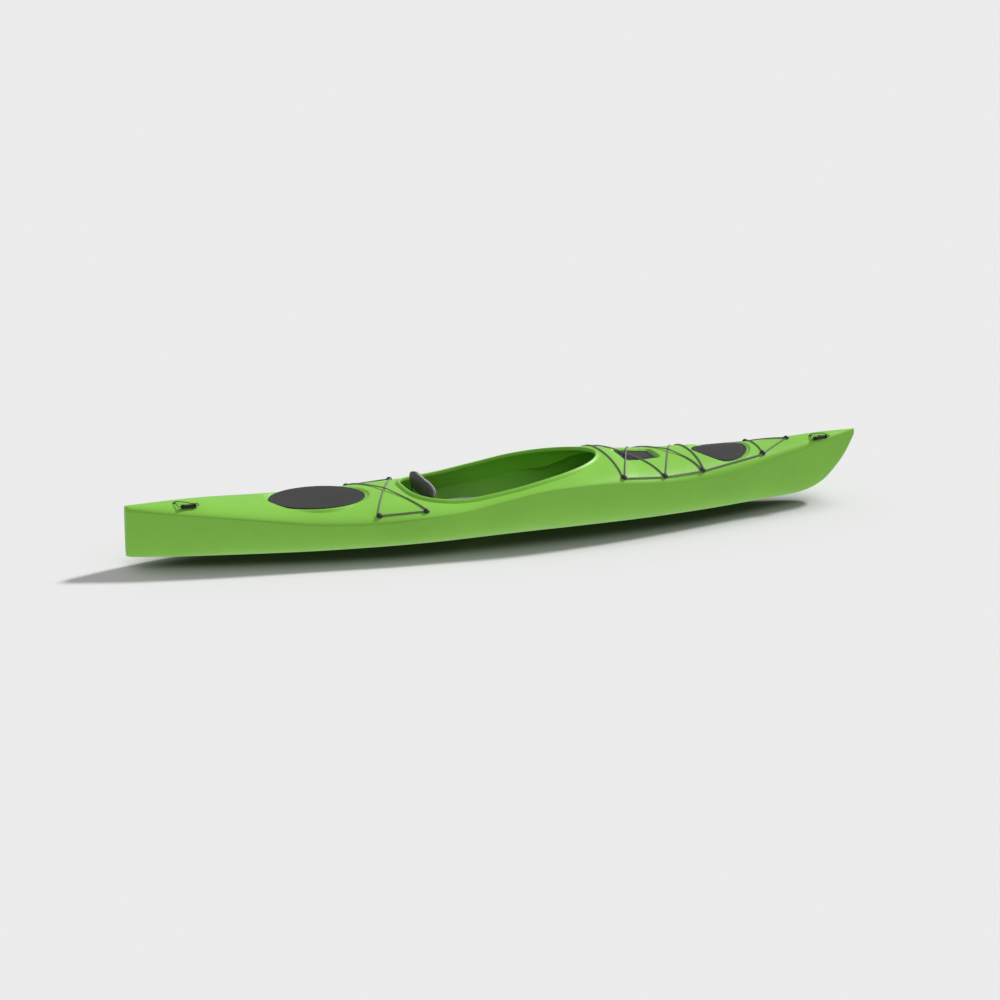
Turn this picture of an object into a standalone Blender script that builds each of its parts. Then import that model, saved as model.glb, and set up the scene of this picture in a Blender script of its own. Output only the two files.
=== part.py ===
"""Decked touring kayak, 3.75 m long, as an assembly of separate pieces.

Frame: +X towards the bow, +Y to port, +Z up, origin under the middle of the boat at the
keel's lowest point. Stations along the boat are given as distances from the stern.
"""
import math

import bmesh
import bpy
import numpy as np
from mathutils import Vector

# ---------------------------------------------------------------- driving dimensions
LENGTH = 3.75
HALF = LENGTH / 2
WALL = 0.005              # moulded wall of hull and deck
GAP = 0.0003              # between pieces that touch
SEAM = 0.00015            # half of the gap at the sheer

# Each curve runs along the boat: (distance from the stern, value).
HALF_BEAM = [(0, .022), (.012, .033), (.03, .040), (.28, .130), (.63, .215), (1.01, .285),
             (1.52, .335), (2.05, .332), (2.48, .300), (2.87, .232), (3.29, .122),
             (3.58, .052), (3.75, .005)]
SHEER = [(0, .256), (.28, .232), (.63, .195), (.88, .164), (1.14, .154), (1.41, .168),
         (1.60, .184), (1.78, .216), (2.05, .250), (2.23, .248), (2.48, .225), (2.74, .203),
         (3.0, .197), (3.29, .233), (3.58, .276), (3.75, .301)]
KEEL = [(0, .030), (.03, .024), (.36, .010), (.80, .001), (1.2, 0), (2.2, 0), (2.8, .003),
        (3.2, .010), (3.41, .017), (3.49, .030), (3.573, .064), (3.653, .135), (3.706, .203),
        (3.75, .285)]
RIDGE = [(0, .277), (.40, .265), (.68, .247), (.94, .238), (1.28, .233), (1.57, .225),
         (1.85, .252), (2.0, .280), (2.16, .304), (2.28, .312), (2.42, .320), (2.5, .301),
         (2.75, .291), (3.0, .292), (3.21, .287), (3.4, .298), (3.57, .312), (3.75, .317)]
SHOULDER = [(0, .65), (2.6, .60), (3.2, .42), (3.75, .42)]   # how square the deck edge is
STATIONS = [0, .012, .03, .10, .22, .36, .50, .60, .655, .69, .72, .80, .94, 1.08, 1.165,
            1.20, 1.235, 1.295, 1.325, 1.38, 1.44, 1.50, 1.57, 1.64, 1.72, 1.80, 1.90, 2.0,
            2.1, 2.2, 2.3, 2.38, 2.43, 2.455, 2.48, 2.56, 2.64, 2.69, 2.72, 2.80, 2.83,
            2.87, 2.91, 2.95, 3.03, 3.10, 3.165, 3.185, 3.21, 3.25, 3.3, 3.41, 3.49, 3.57,
            3.61, 3.65, 3.69, 3.72, 3.75]
RING_STEPS = 7            # facets from the centreline to the sheer
HULL_POWER = 3.2          # superellipse of the hull's sections
DECK_POWER = 2.2
HOLLOW = (.03, 3.61)      # between these the shells are hollow

COCKPIT = dict(centre=1.871, half_length=.492, half_width=.261, aft_power=3.0, fore_power=2.0)
# A hatch's rim is how far its opening lies inside its cover's edge, and its seat is the height
# of the deck under the cover.
REAR_HATCH = dict(centre=.943, half_length=.236, half_width=.187, rim=.034, seat=.2245)
FRONT_HATCH = dict(aft=2.885, widest=3.015, fore=3.160, half_width=.145, rim=.024, seat=.2790,
                   crown=1.2)
DAY_HATCH = dict(aft=2.495, fore=2.668, aft_half=.096, fore_half=.067, corner=.012, rim=.020,
                 seat=.2885, fall=.07)
COVER_THICK = .006

FITTING_D = .030
FITTING_H = .014
CHANNEL_CLEAR = .0012     # a channel under a fitting is this much wider than its cord
BUNGEE_D = .0065
LINE_D = .006
HOOK_R = .006             # bend of a bungee under its fitting
HOOK_IN = .004            # a hook's centre lies this far inboard of its fitting's
LINE_OUT = .0098          # and the deck line runs this far outboard
CORD_LIFT = .0019         # clear space under a cord
CORD_STEP = .042          # between a bungee's points on a straight run
BUMP_REACH = .012         # half the length of the hump where one cord crosses another
FITTINGS = {
    "rear_aft": (1.172, .271), "rear_fore": (1.400, .291), "front_aft": (2.411, .281),
    "front_mid": (2.635, .253), "front_fore": (2.850, .212), "bow": (3.210, .112)}
TIP_FITTING = 3.383

TOGGLE_LENGTH = .074
TOGGLE_D = .015
ROPE_D = .005
STERN_TOGGLE = dict(anchor=(.236, -.010), bar=(.287, -.084, .2710), tilt=0)
BOW_TOGGLE = dict(anchor=(3.506, -.020), bar=(3.544, -.059, .305), tilt=4)

PIVOT = (1.475, .100)     # backrest pivot: station and height
BACKREST_Y = .178
BACKREST_TURN = .62       # how square the panel's outline is, across and upwards
BACKREST_RISE = .80
ARM_Y = .139              # middle of each arm, just inside the seat pan's ears
ARM_HALF = .0035
EAR_Y = .150
EAR_HALF = .004
PIN_HOLE = .0045
RAIL = dict(aft=(2.30, .289), fore=(2.70, .243), height=.115, half_height=.014, depth=.012)
PEDAL_AT = .45            # along the rail, 0 to 1
PEDAL_BLOCK = dict(half_length=.030, half_height=.020, inner=.0124, outer=.028)
PEDAL_PLATE = dict(aft=-.006, fore=.002, low=-.040, high=.065, inner=.027, outer=.085)

GREEN = (.28, .63, .11)
DARK_GREEN = (.17, .43, .06)
BLACK = (.045, .045, .05)
GREY = (.16, .16, .16)
PALE_GREY = (.40, .40, .40)
FOAM = (.03, .03, .035)


# ---------------------------------------------------------------- scene and helpers
for old in list(bpy.data.objects):
    bpy.data.objects.remove(old, do_unlink=True)

kayak = bpy.data.collections.new("kayak")
cutters = bpy.data.collections.new("cutters")
for group in (kayak, cutters):
    bpy.context.scene.collection.children.link(group)


def material(name, colour, roughness, metallic=0.0):
    made = bpy.data.materials.new(name)
    made.use_nodes = True
    shader = made.node_tree.nodes["Principled BSDF"]
    shader.inputs["Base Color"].default_value = (*colour, 1)
    shader.inputs["Roughness"].default_value = roughness
    shader.inputs["Metallic"].default_value = metallic
    return made


def add(name, verts, faces, colour, roughness=.5, group=kayak):
    """A mesh object whose faces all point out."""
    mesh = bpy.data.meshes.new(name)
    mesh.from_pydata([tuple(v) for v in verts], [], faces)
    edit = bmesh.new()
    edit.from_mesh(mesh)
    bmesh.ops.recalc_face_normals(edit, faces=edit.faces)
    bmesh.ops.triangulate(edit, faces=[f for f in edit.faces if len(f.verts) > 4])
    edit.to_mesh(mesh)
    edit.free()
    made = bpy.data.objects.new(name, mesh)
    group.objects.link(made)
    mesh.materials.append(material(name, colour, roughness))
    if group is cutters:
        made.hide_render = True
        made.display_type = "WIRE"
    return made


def loft(name, rings, colour, roughness=.5, group=kayak):
    """Closed rings of equal count joined one to the next, with flat ends."""
    count = len(rings[0])
    faces = [list(range(count)), list(range((len(rings) - 1) * count, len(rings) * count))]
    for r in range(len(rings) - 1):
        for i in range(count):
            j = (i + 1) % count
            faces.append([r * count + i, r * count + j, (r + 1) * count + j, (r + 1) * count + i])
    return add(name, [v for ring in rings for v in ring], faces, colour, roughness, group)


def combine(target, tool, operation):
    step = target.modifiers.new(f"{operation.lower()} {tool.name}", "BOOLEAN")
    step.operation = operation
    step.object = tool
    return step


def cut(target, tool):
    combine(target, tool, "DIFFERENCE")


def box(name, low, high, colour, roughness=.5, group=kayak):
    corners = [[(x, y, z) for x, y in ((low[0], low[1]), (high[0], low[1]), (high[0], high[1]),
                                       (low[0], high[1]))] for z in (low[2], high[2])]
    return loft(name, corners, colour, roughness, group)


def curve_through(knots):
    """Shape-preserving cubic through the knots: no overshoot, flat where they are flat."""
    x = np.array([k[0] for k in knots], float)
    y = np.array([k[1] for k in knots], float)
    h = np.diff(x)
    slope = np.diff(y) / h
    d = np.zeros(len(x))
    for i in range(1, len(x) - 1):
        if slope[i - 1] * slope[i] > 0:
            w1, w2 = 2 * h[i] + h[i - 1], h[i] + 2 * h[i - 1]
            d[i] = (w1 + w2) / (w1 / slope[i - 1] + w2 / slope[i])
    d[0], d[-1] = slope[0], slope[-1]

    def value(at):
        i = int(np.clip(np.searchsorted(x, at) - 1, 0, len(h) - 1))
        t = (min(max(at, x[0]), x[-1]) - x[i]) / h[i]
        return float((1 + 2 * t) * (1 - t) ** 2 * y[i] + t * (1 - t) ** 2 * h[i] * d[i]
                     + t * t * (3 - 2 * t) * y[i + 1] - t * t * (1 - t) * h[i] * d[i + 1])
    return value


half_beam, sheer, keel = curve_through(HALF_BEAM), curve_through(SHEER), curve_through(KEEL)
ridge, shoulder = curve_through(RIDGE), curve_through(SHOULDER)


def smooth(t):
    t = min(max(t, 0.0), 1.0)
    return t * t * (3 - 2 * t)


def signed(value, power):
    """A power of the value's size, with the value's sign."""
    return math.copysign(abs(value) ** power, value)


# ---------------------------------------------------------------- outlines, in plan
def superellipse(centre, half_length, half_width, aft_power, fore_power, count):
    points = []
    for i in range(count):
        a = 2 * math.pi * i / count
        power = fore_power if math.cos(a) > 0 else aft_power
        points.append((centre + half_length * signed(math.cos(a), 2 / power),
                       half_width * signed(math.sin(a), 2 / power)))
    return points


def cockpit_outline(inset=0.0, count=40):
    c = COCKPIT
    return superellipse(c["centre"], c["half_length"] - inset, c["half_width"] - inset,
                        c["aft_power"], c["fore_power"], count)


def rear_outline(inset=0.0, count=32):
    h = REAR_HATCH
    return superellipse(h["centre"], h["half_length"] - inset, h["half_width"] - inset, 2, 2,
                        count)


def front_outline(inset=0.0, count=28):
    """Rounded ahead, drawn to a soft point astern."""
    h = FRONT_HATCH
    points = []
    for i in range(count):
        a = 2 * math.pi * i / count
        reach = h["fore"] - h["widest"] if math.cos(a) > 0 else h["widest"] - h["aft"]
        power = 1 if math.cos(a) > 0 else 1.25
        points.append((h["widest"] + (reach - inset) * math.cos(a),
                       (h["half_width"] - inset) * signed(math.sin(a), power)))
    return points


def day_outline(inset=0.0):
    """A trapezoid, wider astern, with rounded corners."""
    h = DAY_HATCH
    fore, aft = h["fore"] - inset, h["aft"] + inset
    fore_half, aft_half = h["fore_half"] - inset, h["aft_half"] - inset
    radius = max(h["corner"] - inset / 3, .005)
    corners = [(fore, fore_half), (aft, aft_half), (aft, -aft_half), (fore, -fore_half)]
    points = []
    for i, corner in enumerate(corners):
        here = Vector(corner)
        before = (Vector(corners[i - 1]) - here).normalized()
        after = (Vector(corners[(i + 1) % 4]) - here).normalized()
        for t in (0, 1 / 3, 2 / 3, 1):
            start, end = here + before * radius, here + after * radius
            point = start * (1 - t) ** 2 + here * 2 * t * (1 - t) + end * t ** 2
            points.append((point.x, point.y))
    return points


def distance_out(s, y, centre, half_length, half_width):
    """Roughly how far (s, y) lies outside an ellipse."""
    r = math.hypot((s - centre) / half_length, y / half_width)
    return (r - 1) * min(half_length, half_width)


# ---------------------------------------------------------------- hull and deck surfaces
def rear_seat(s, y):
    return REAR_HATCH["seat"]


def front_seat(s, y):
    return FRONT_HATCH["seat"] - FRONT_HATCH["crown"] * y * y


def day_seat(s, y):
    return DAY_HATCH["seat"] - DAY_HATCH["fall"] * (s - DAY_HATCH["aft"])


# Each seat: its surface, its ellipse (centre, half length, half width), the margin that lies
# in the seat and whether the deck rises to it at the sides, where it falls away.
SEATS = [(rear_seat, (.943, .236, .187), .030, True),
         (front_seat, (3.005, .145, .150), .034, False),
         (day_seat, (2.582, .112, .145), .040, False)]
SEAT_EDGE = .028


def deck_height(s, y):
    """Height of the deck's outer face, with a seat around each hatch."""
    b, edge, top = half_beam(s), sheer(s) + SEAM, ridge(s)
    f = min(abs(y) / b, 1)
    height = edge + (top - edge) * (1 - f ** DECK_POWER) ** shoulder(s)
    for seat, ellipse, margin, rises in SEATS:
        share = 1 - smooth((distance_out(s, y, *ellipse) - margin) / SEAT_EDGE)
        fall = height - max(seat(s, y), edge)
        height -= share * (fall if rises else max(0, fall))
    return height


def deck_normal(s, y):
    d = .002
    return Vector((-(deck_height(s + d, y) - deck_height(s - d, y)) / (2 * d),
                   -(deck_height(s, y + d) - deck_height(s, y - d)) / (2 * d), 1)).normalized()


def on_deck(s, y, lift):
    """A point over the deck, a distance off its surface."""
    return Vector((s - HALF, y, deck_height(s, y))) + deck_normal(s, y) * lift


def deck_arch(s, inset=0.0):
    b = half_beam(s) - inset
    points = []
    for k in range(-RING_STEPS, RING_STEPS + 1):
        f = math.sin(k * math.pi / 2 / RING_STEPS)
        z = max(deck_height(s, f * half_beam(s)) - inset, sheer(s) + SEAM)
        points.append((s - HALF, f * b, z))
    return points


def hull_section(s, inset=0.0):
    """From the port sheer under the keel to the starboard sheer; the lowest facet is level."""
    b, top, bottom = half_beam(s) - inset, sheer(s) - SEAM, keel(s) + inset
    first = math.pi / 2 / (2 * RING_STEPS + 1)
    angles = [first * (2 * k + 1) for k in range(RING_STEPS)] + [math.pi / 2]
    side = []
    for a in angles:
        y = b * math.sin(a) ** (2 / HULL_POWER)
        drop = (top - bottom) * (max(math.cos(a), 0) / math.cos(first)) ** (2 / HULL_POWER)
        side.append((s - HALF, y, top - drop))
    return side[::-1] + [(x, -y, z) for x, y, z in side]


def shells():
    hull = loft("hull_shell", [hull_section(s) for s in STATIONS], DARK_GREEN, .38)
    deck = loft("deck_shell", [deck_arch(s) for s in STATIONS], GREEN, .38)
    inside = [s for s in STATIONS if HOLLOW[0] <= s <= HOLLOW[1]]
    hold, vault = [], []
    for s in inside:
        under = hull_section(s, WALL)
        x, y, _ = under[0]
        top = sheer(s) + .05
        hold.append([(x, y, top)] + under + [(x, -y, top)])
        arch = deck_arch(s, WALL)
        low = sheer(s) - .05
        vault.append([(x, arch[0][1], low)] + arch + [(x, arch[-1][1], low)])
    cut(hull, loft("hull_cavity", hold, GREY, group=cutters))
    cut(deck, loft("deck_cavity", vault, GREY, group=cutters))
    for name, hole in (("cockpit", cockpit_outline(-.0008)),
                       ("rear_hatch", rear_outline(REAR_HATCH["rim"])),
                       ("front_hatch", front_outline(FRONT_HATCH["rim"])),
                       ("day_hatch", day_outline(DAY_HATCH["rim"]))):
        rings = [[(x - HALF, y, z) for x, y in hole] for z in (.12, .40)]
        cut(deck, loft(f"{name}_opening", rings, GREY, group=cutters))
    return hull, deck


# ---------------------------------------------------------------- rings and covers
def sweep(name, outline, profile, colour, roughness=.5):
    """A ring round an outline; the profile is (distance out, height above the deck)."""
    rings = []
    lines = [outline(-out) for out, _ in profile]
    edge = outline(0)
    for i in range(len(edge)):
        ring = []
        for line, (out, up) in zip(lines, profile):
            s, y = line[i]
            ring.append((s - HALF, y, deck_height(*(line[i] if out > 0 else edge[i])) + up))
        rings.append(ring)
    count = len(profile)
    verts = [v for ring in rings for v in ring]
    faces = []
    for r in range(len(rings)):
        n = (r + 1) % len(rings)
        for i in range(count):
            j = (i + 1) % count
            faces.append([r * count + i, r * count + j, n * count + j, n * count + i])
    return add(name, verts, faces, colour, roughness)


def coaming():
    """Rolled lip round the cockpit with a skirt that hangs through the deck's opening."""
    lip = [(-.0035, -.034), (-.005, .002), (-.004, .010), (.000, .0130), (.006, .0122),
           (.012, .0078), (.017, .0022), (.0008, .0022), (.0003, -.002), (0, -.034)]
    return sweep("coaming", cockpit_outline, lip, GREEN, .35)


def hatch_rim(name, outline, inset):
    """Collar set in the deck's opening, with a flange that lies on the deck."""
    def hole(more):
        return outline(inset + more)
    profile = [(-.0035, -.014), (-.0035, .0026), (.009, .0026), (.009, .0007), (-.0005, .0007),
               (-.0005, -.014)]
    return sweep(name, hole, profile, BLACK, .45)


def stack(name, outline, rings, surface, colour, roughness=.5, centre=None):
    """Scaled copies of an outline joined one to the next, closed by a fan at both ends.

    rings holds (distance in from the outline, height over the surface); a distance of None
    is the centre point.
    """
    edge = outline(0)
    count = len(edge)
    middle = centre or (sum(p[0] for p in edge) / count, 0)
    verts, starts = [], []
    for inset, up in rings:
        starts.append(len(verts))
        if inset is None:
            verts.append((middle[0] - HALF, middle[1], surface(*middle) + up))
            continue
        if inset < 1:
            line = outline(inset)
        else:
            line = [(middle[0] + (s - middle[0]) / inset, y / inset) for s, y in edge]
        verts += [(s - HALF, y, surface(s, y) + up) for s, y in line]
    faces = []
    for k in range(len(rings) - 1):
        a, b = starts[k], starts[k + 1]
        for i in range(count):
            j = (i + 1) % count
            if rings[k][0] is None:
                faces.append([a, b + i, b + j])
            elif rings[k + 1][0] is None:
                faces.append([a + i, a + j, b])
            else:
                faces.append([a + i, a + j, b + j, b + i])
    return add(name, verts, faces, colour, roughness)


def hatches():
    """Covers are thin plates with an edge that drops round the rim; inset 2 is half scale."""
    cover = [(None, COVER_THICK), (2, COVER_THICK), (.003, COVER_THICK), (0, COVER_THICK - .0015),
             (0, .0012), (.005, .0012), (.007, .0036), (2, .0036), (None, .0036)]
    hatch_rim("rear_hatch_rim", rear_outline, REAR_HATCH["rim"])
    stack("rear_hatch_cover", rear_outline, cover, rear_seat, BLACK, .55,
          (REAR_HATCH["centre"], 0))
    hatch_rim("front_hatch_rim", front_outline, FRONT_HATCH["rim"])
    stack("front_hatch_cover", front_outline, cover, front_seat, BLACK, .55,
          (FRONT_HATCH["widest"], 0))
    hatch_rim("day_hatch_rim", day_outline, DAY_HATCH["rim"])
    stack("day_hatch_cover", day_outline, cover, day_seat, BLACK, .55)
    tub = [(None, -.100), (.036, -.100), (.0275, -.016), (.0295, -.016), (.038, -.098),
           (None, -.098)]
    stack("day_hatch_pod", day_outline, tub, day_seat, BLACK, .6)


# ---------------------------------------------------------------- inside the hull
def bulkhead(name, s_aft, s_fore):
    rings = []
    for s in (s_aft, s_fore):
        clear = WALL + .0006
        under = hull_section(s, clear)
        over = deck_arch(s, clear)[1:-1]
        rings.append(under + [(x, y, z) for x, y, z in over])
    return loft(name, rings, FOAM, .9)


def seat():
    """A moulded pan: level floor, sides that rise to the hips, raised under the thighs."""
    stations = [(1.455, .014, .026, .082), (1.50, .0125, .024, .092), (1.62, .0125, .022, .092),
                (1.76, .0125, .030, .088), (1.86, .0135, .052, .080)]
    rings = []
    for s, under, floor, wing in stations:
        x = s - HALF
        half = [(x, .150, under), (x, .200, under + .010), (x, .226, .055), (x, .232, wing),
                (x, .222, wing), (x, .212, .060), (x, .180, floor + .006), (x, .100, floor)]
        rings.append(half + [(x, -y, z) for _, y, z in half[::-1]])
    pan = loft("seat_pan", rings, BLACK, .5)
    for side, sign in (("port", 1), ("starboard", -1)):
        ear = box(f"ear_{side}", (PIVOT[0] - HALF - .014, sign * EAR_Y - EAR_HALF, .018),
                  (PIVOT[0] - HALF + .014, sign * EAR_Y + EAR_HALF, PIVOT[1] + .014), BLACK,
                  group=cutters)
        combine(pan, ear, "UNION")
    pad_rings = []
    for s, floor, depth in ((1.50, .0245, .020), (1.53, .0238, .028), (1.62, .0223, .030),
                            (1.76, .0303, .032), (1.82, .0435, .032), (1.85, .0506, .026)):
        x = s - HALF
        half = [(x, .095, floor), (x, .170, floor + .0068), (x, .202, .068), (x, .2065, .088),
                (x, .190, .090), (x, .165, .066), (x, .095, floor + depth)]
        pad_rings.append(half + [(x, -y, z) for _, y, z in half[::-1]])
    loft("seat_pad", pad_rings, PALE_GREY, .9)
    return pan


def backrest(pan):
    """A lumbar panel on two arms that turn on pins through the seat pan's ears."""
    x, z = PIVOT[0] - HALF, PIVOT[1]

    def panel(half_width, low, high, count=12):
        middle, tall = (low + high) / 2, (high - low) / 2
        points = []
        for i in range(2 * count):
            a = math.pi * i / count
            points.append((half_width * signed(math.cos(a), BACKREST_TURN),
                           middle + tall * signed(math.sin(a), BACKREST_RISE)))
        return points

    back = [[(px, y, h) for y, h in panel(half, low, high)]
            for px, half, low, high in ((x - .016, BACKREST_Y - .012, .200, .274),
                                        (x - .012, BACKREST_Y - .004, .192, .280),
                                        (x - .006, BACKREST_Y - .003, .191, .281))]
    shell = loft("backrest_shell", back, BLACK, .5)
    soft = [[(px, y, h) for y, h in panel(half, low, high)]
            for px, half, low, high in ((x - .0056, BACKREST_Y - .002, .190, .282),
                                        (x + .002, BACKREST_Y, .188, .285),
                                        (x + .016, BACKREST_Y - .004, .192, .281),
                                        (x + .021, BACKREST_Y - .020, .205, .268))]
    loft("backrest_pad", soft, PALE_GREY, .9)
    for side, sign in (("port", 1), ("starboard", -1)):
        arm = box(f"arm_{side}", (x - .011, sign * ARM_Y - ARM_HALF, z - .012),
                  (x - .0065, sign * ARM_Y + ARM_HALF, .215), BLACK, group=cutters)
        foot = box(f"arm_foot_{side}", (x - .0105, sign * ARM_Y - ARM_HALF + .0003, z - .0125),
                   (x + .010, sign * ARM_Y + ARM_HALF - .0003, z + .016), BLACK, group=cutters)
        combine(shell, arm, "UNION")
        combine(shell, foot, "UNION")
    for side, sign in (("port", 1), ("starboard", -1)):
        outboard = Vector((0, sign, 0))
        hole = turned(f"pin_hole_{side}", [(PIN_HOLE, .03), (PIN_HOLE, -.03)], 16,
                      (x, sign * .145, z), outboard, BLACK, group=cutters)
        cut(shell, hole)
        cut(pan, hole)
        turned(f"backrest_pin_{side}",
               [(.0065, .0165), (.0065, .0115), (.004, .0115), (.004, -.012)], 16,
               (x, sign * .1445, z), outboard, GREY, roughness=.3, metallic=1)


def turned(name, profile, sides, at, axis, colour, group=kayak, roughness=.5, metallic=0.0):
    """A solid of revolution about an axis: the profile is (radius, height), top to bottom."""
    rings = [[(r * math.cos(2 * math.pi * i / sides), r * math.sin(2 * math.pi * i / sides), h)
              for i in range(sides)] for r, h in profile]
    made = loft(name, rings, colour, roughness, group)
    shader = made.data.materials[0].node_tree.nodes["Principled BSDF"]
    shader.inputs["Metallic"].default_value = metallic
    made.rotation_mode = "QUATERNION"
    made.rotation_quaternion = Vector((0, 0, 1)).rotation_difference(axis)
    made.location = at
    return made


def foot_braces():
    """A rail on each side of the hull and a pedal that slides along it."""
    (s0, y0), (s1, y1) = RAIL["aft"], RAIL["fore"]
    angle = math.atan2(y1 - y0, s1 - s0)
    length = math.hypot(s1 - s0, y1 - y0)
    at = length * PEDAL_AT
    block, plate = PEDAL_BLOCK, PEDAL_PLATE
    for side, sign in (("port", 1), ("starboard", -1)):
        def on_rail(name, start, end, inner, outer, low, high, colour, group=kayak):
            """A box by its reach along the rail, inboard of the rail's outer face, and up."""
            near, far = sorted((-sign * inner, -sign * outer))
            made = box(f"{name}_{side}", (start, near, low), (end, far, high), colour, group=group)
            made.location = (s0 - HALF, sign * y0, RAIL["height"])
            made.rotation_euler = (0, 0, sign * angle)
            return made

        on_rail("foot_rail", 0, length, 0, RAIL["depth"], -RAIL["half_height"],
                RAIL["half_height"], GREY)
        slider = on_rail("foot_pedal", at - block["half_length"], at + block["half_length"],
                         block["inner"], block["outer"], -block["half_height"],
                         block["half_height"], BLACK)
        combine(slider, on_rail("pedal_plate", at + plate["aft"], at + plate["fore"],
                                plate["inner"], plate["outer"], plate["low"], plate["high"],
                                BLACK, cutters), "UNION")


# ---------------------------------------------------------------- deck cords and fittings
def highest(s, y):
    """What a cord lies on: the deck, or the day hatch's cover where that is higher."""
    h = DAY_HATCH
    t = (s - h["aft"]) / (h["fore"] - h["aft"])
    half = h["aft_half"] + (h["fore_half"] - h["aft_half"]) * t
    over = -.012 < s - h["aft"] and s - h["fore"] < .012 and abs(y) < half + .012
    return max(deck_height(s, y), day_seat(s, y) + COVER_THICK if over else 0)


def over(s, y, lift):
    """A point straight above the deck at (s, y), the lift clear of its slope."""
    return Vector((s - HALF, y, highest(s, y) + lift / deck_normal(s, y).z))


def crossing(a, b, c, d):
    """The share of the way from a to b at which the line from c to d crosses it."""
    run, other, gap = Vector(b) - Vector(a), Vector(d) - Vector(c), Vector(c) - Vector(a)
    return gap.cross(other) / run.cross(other)


def taut(start, end, lift, spacing, bump=None):
    """Points from start to end, pulled tight over the deck; a bump is (share, extra height)."""
    length = math.dist(start, end)
    count = max(2, round(length / spacing))
    fine = 60
    sample = []
    for i in range(fine + 1):
        t = i / fine
        s, y = start[0] + (end[0] - start[0]) * t, start[1] + (end[1] - start[1]) * t
        z = over(s, y, lift).z
        if bump and abs(t - bump[0]) * length < BUMP_REACH:
            z += bump[1]
        sample.append((t, z))
    hull = []
    for point in sample:
        while len(hull) > 1 and ((hull[-1][0] - hull[-2][0]) * (point[1] - hull[-2][1])
                                 - (hull[-1][1] - hull[-2][1]) * (point[0] - hull[-2][0])) > 0:
            hull.pop()
        hull.append(point)
    ts, zs = [p[0] for p in hull], [p[1] for p in hull]
    points = []
    for i in range(count + 1):
        t = i / count
        points.append(Vector((start[0] + (end[0] - start[0]) * t - HALF,
                              start[1] + (end[1] - start[1]) * t, float(np.interp(t, ts, zs)))))
    return points


def laced(route, lift, spacing, bumps=()):
    """A cord that hooks round each place in a closed route; its ends meet at the first."""
    count = len(route)
    joint = math.radians(7)
    hooks = []
    for i, here in enumerate(route):
        back = Vector(here) - Vector(route[i - 1])
        ahead = Vector(route[(i + 1) % count]) - Vector(here)
        side = 1 if back.x * ahead.y - back.y * ahead.x > 0 else -1
        a0 = math.atan2(back.y, back.x) - side * math.pi / 2
        turn = (math.atan2(ahead.y, ahead.x) - math.atan2(back.y, back.x)) * side % (2 * math.pi)
        hooks.append((here, a0, side, turn))

    def arc(hook, first, last):
        here, a0, side, turn = hook
        steps = max(2, math.ceil(abs(last - first) * turn / math.radians(38)))
        angles = [a0 + side * turn * (first + (last - first) * k / steps) for k in range(steps + 1)]
        return [(here[0] + HOOK_R * math.cos(a), here[1] + HOOK_R * math.sin(a)) for a in angles]

    half_gap = joint / hooks[0][3]
    path = [over(*p, lift) for p in arc(hooks[0], .5 + half_gap, 1)]
    for i in range(count):
        following = hooks[(i + 1) % count]
        last = i == count - 1
        bend = arc(following, 0, .5 - half_gap if last else 1)
        leave = path[-1]
        bump = bumps[i] if i < len(bumps) else None
        run = taut((leave.x + HALF, leave.y), bend[0], lift, spacing, bump)
        path += run[1:-1] + [over(*p, lift) for p in bend]
    return path


def tube(name, points, diameter, colour, group=kayak, roughness=.7):
    """A cord: a poly spline with a round bevel and closed ends, made a mesh."""
    data = bpy.data.curves.new(name, "CURVE")
    data.dimensions = "3D"
    data.bevel_depth = diameter / 2
    data.bevel_resolution = 2
    data.use_fill_caps = True
    spline = data.splines.new("POLY")
    spline.points.add(len(points) - 1)
    for slot, point in zip(spline.points, points):
        slot.co = (*point, 1)
    drawn = bpy.data.objects.new(f"{name}_curve", data)
    group.objects.link(drawn)
    depsgraph = bpy.context.evaluated_depsgraph_get()
    mesh = bpy.data.meshes.new_from_object(drawn.evaluated_get(depsgraph))
    edit = bmesh.new()
    edit.from_mesh(mesh)
    bmesh.ops.remove_doubles(edit, verts=edit.verts, dist=1e-6)
    bmesh.ops.recalc_face_normals(edit, faces=edit.faces)
    edit.to_mesh(mesh)
    edit.free()
    made = bpy.data.objects.new(name, mesh)
    made.matrix_world = drawn.matrix_world
    bpy.data.objects.remove(drawn, do_unlink=True)
    group.objects.link(made)
    mesh.materials.clear()
    mesh.materials.append(material(name, colour, roughness))
    if group is cutters:
        made.hide_render = True
        made.display_type = "WIRE"
    return made


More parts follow.
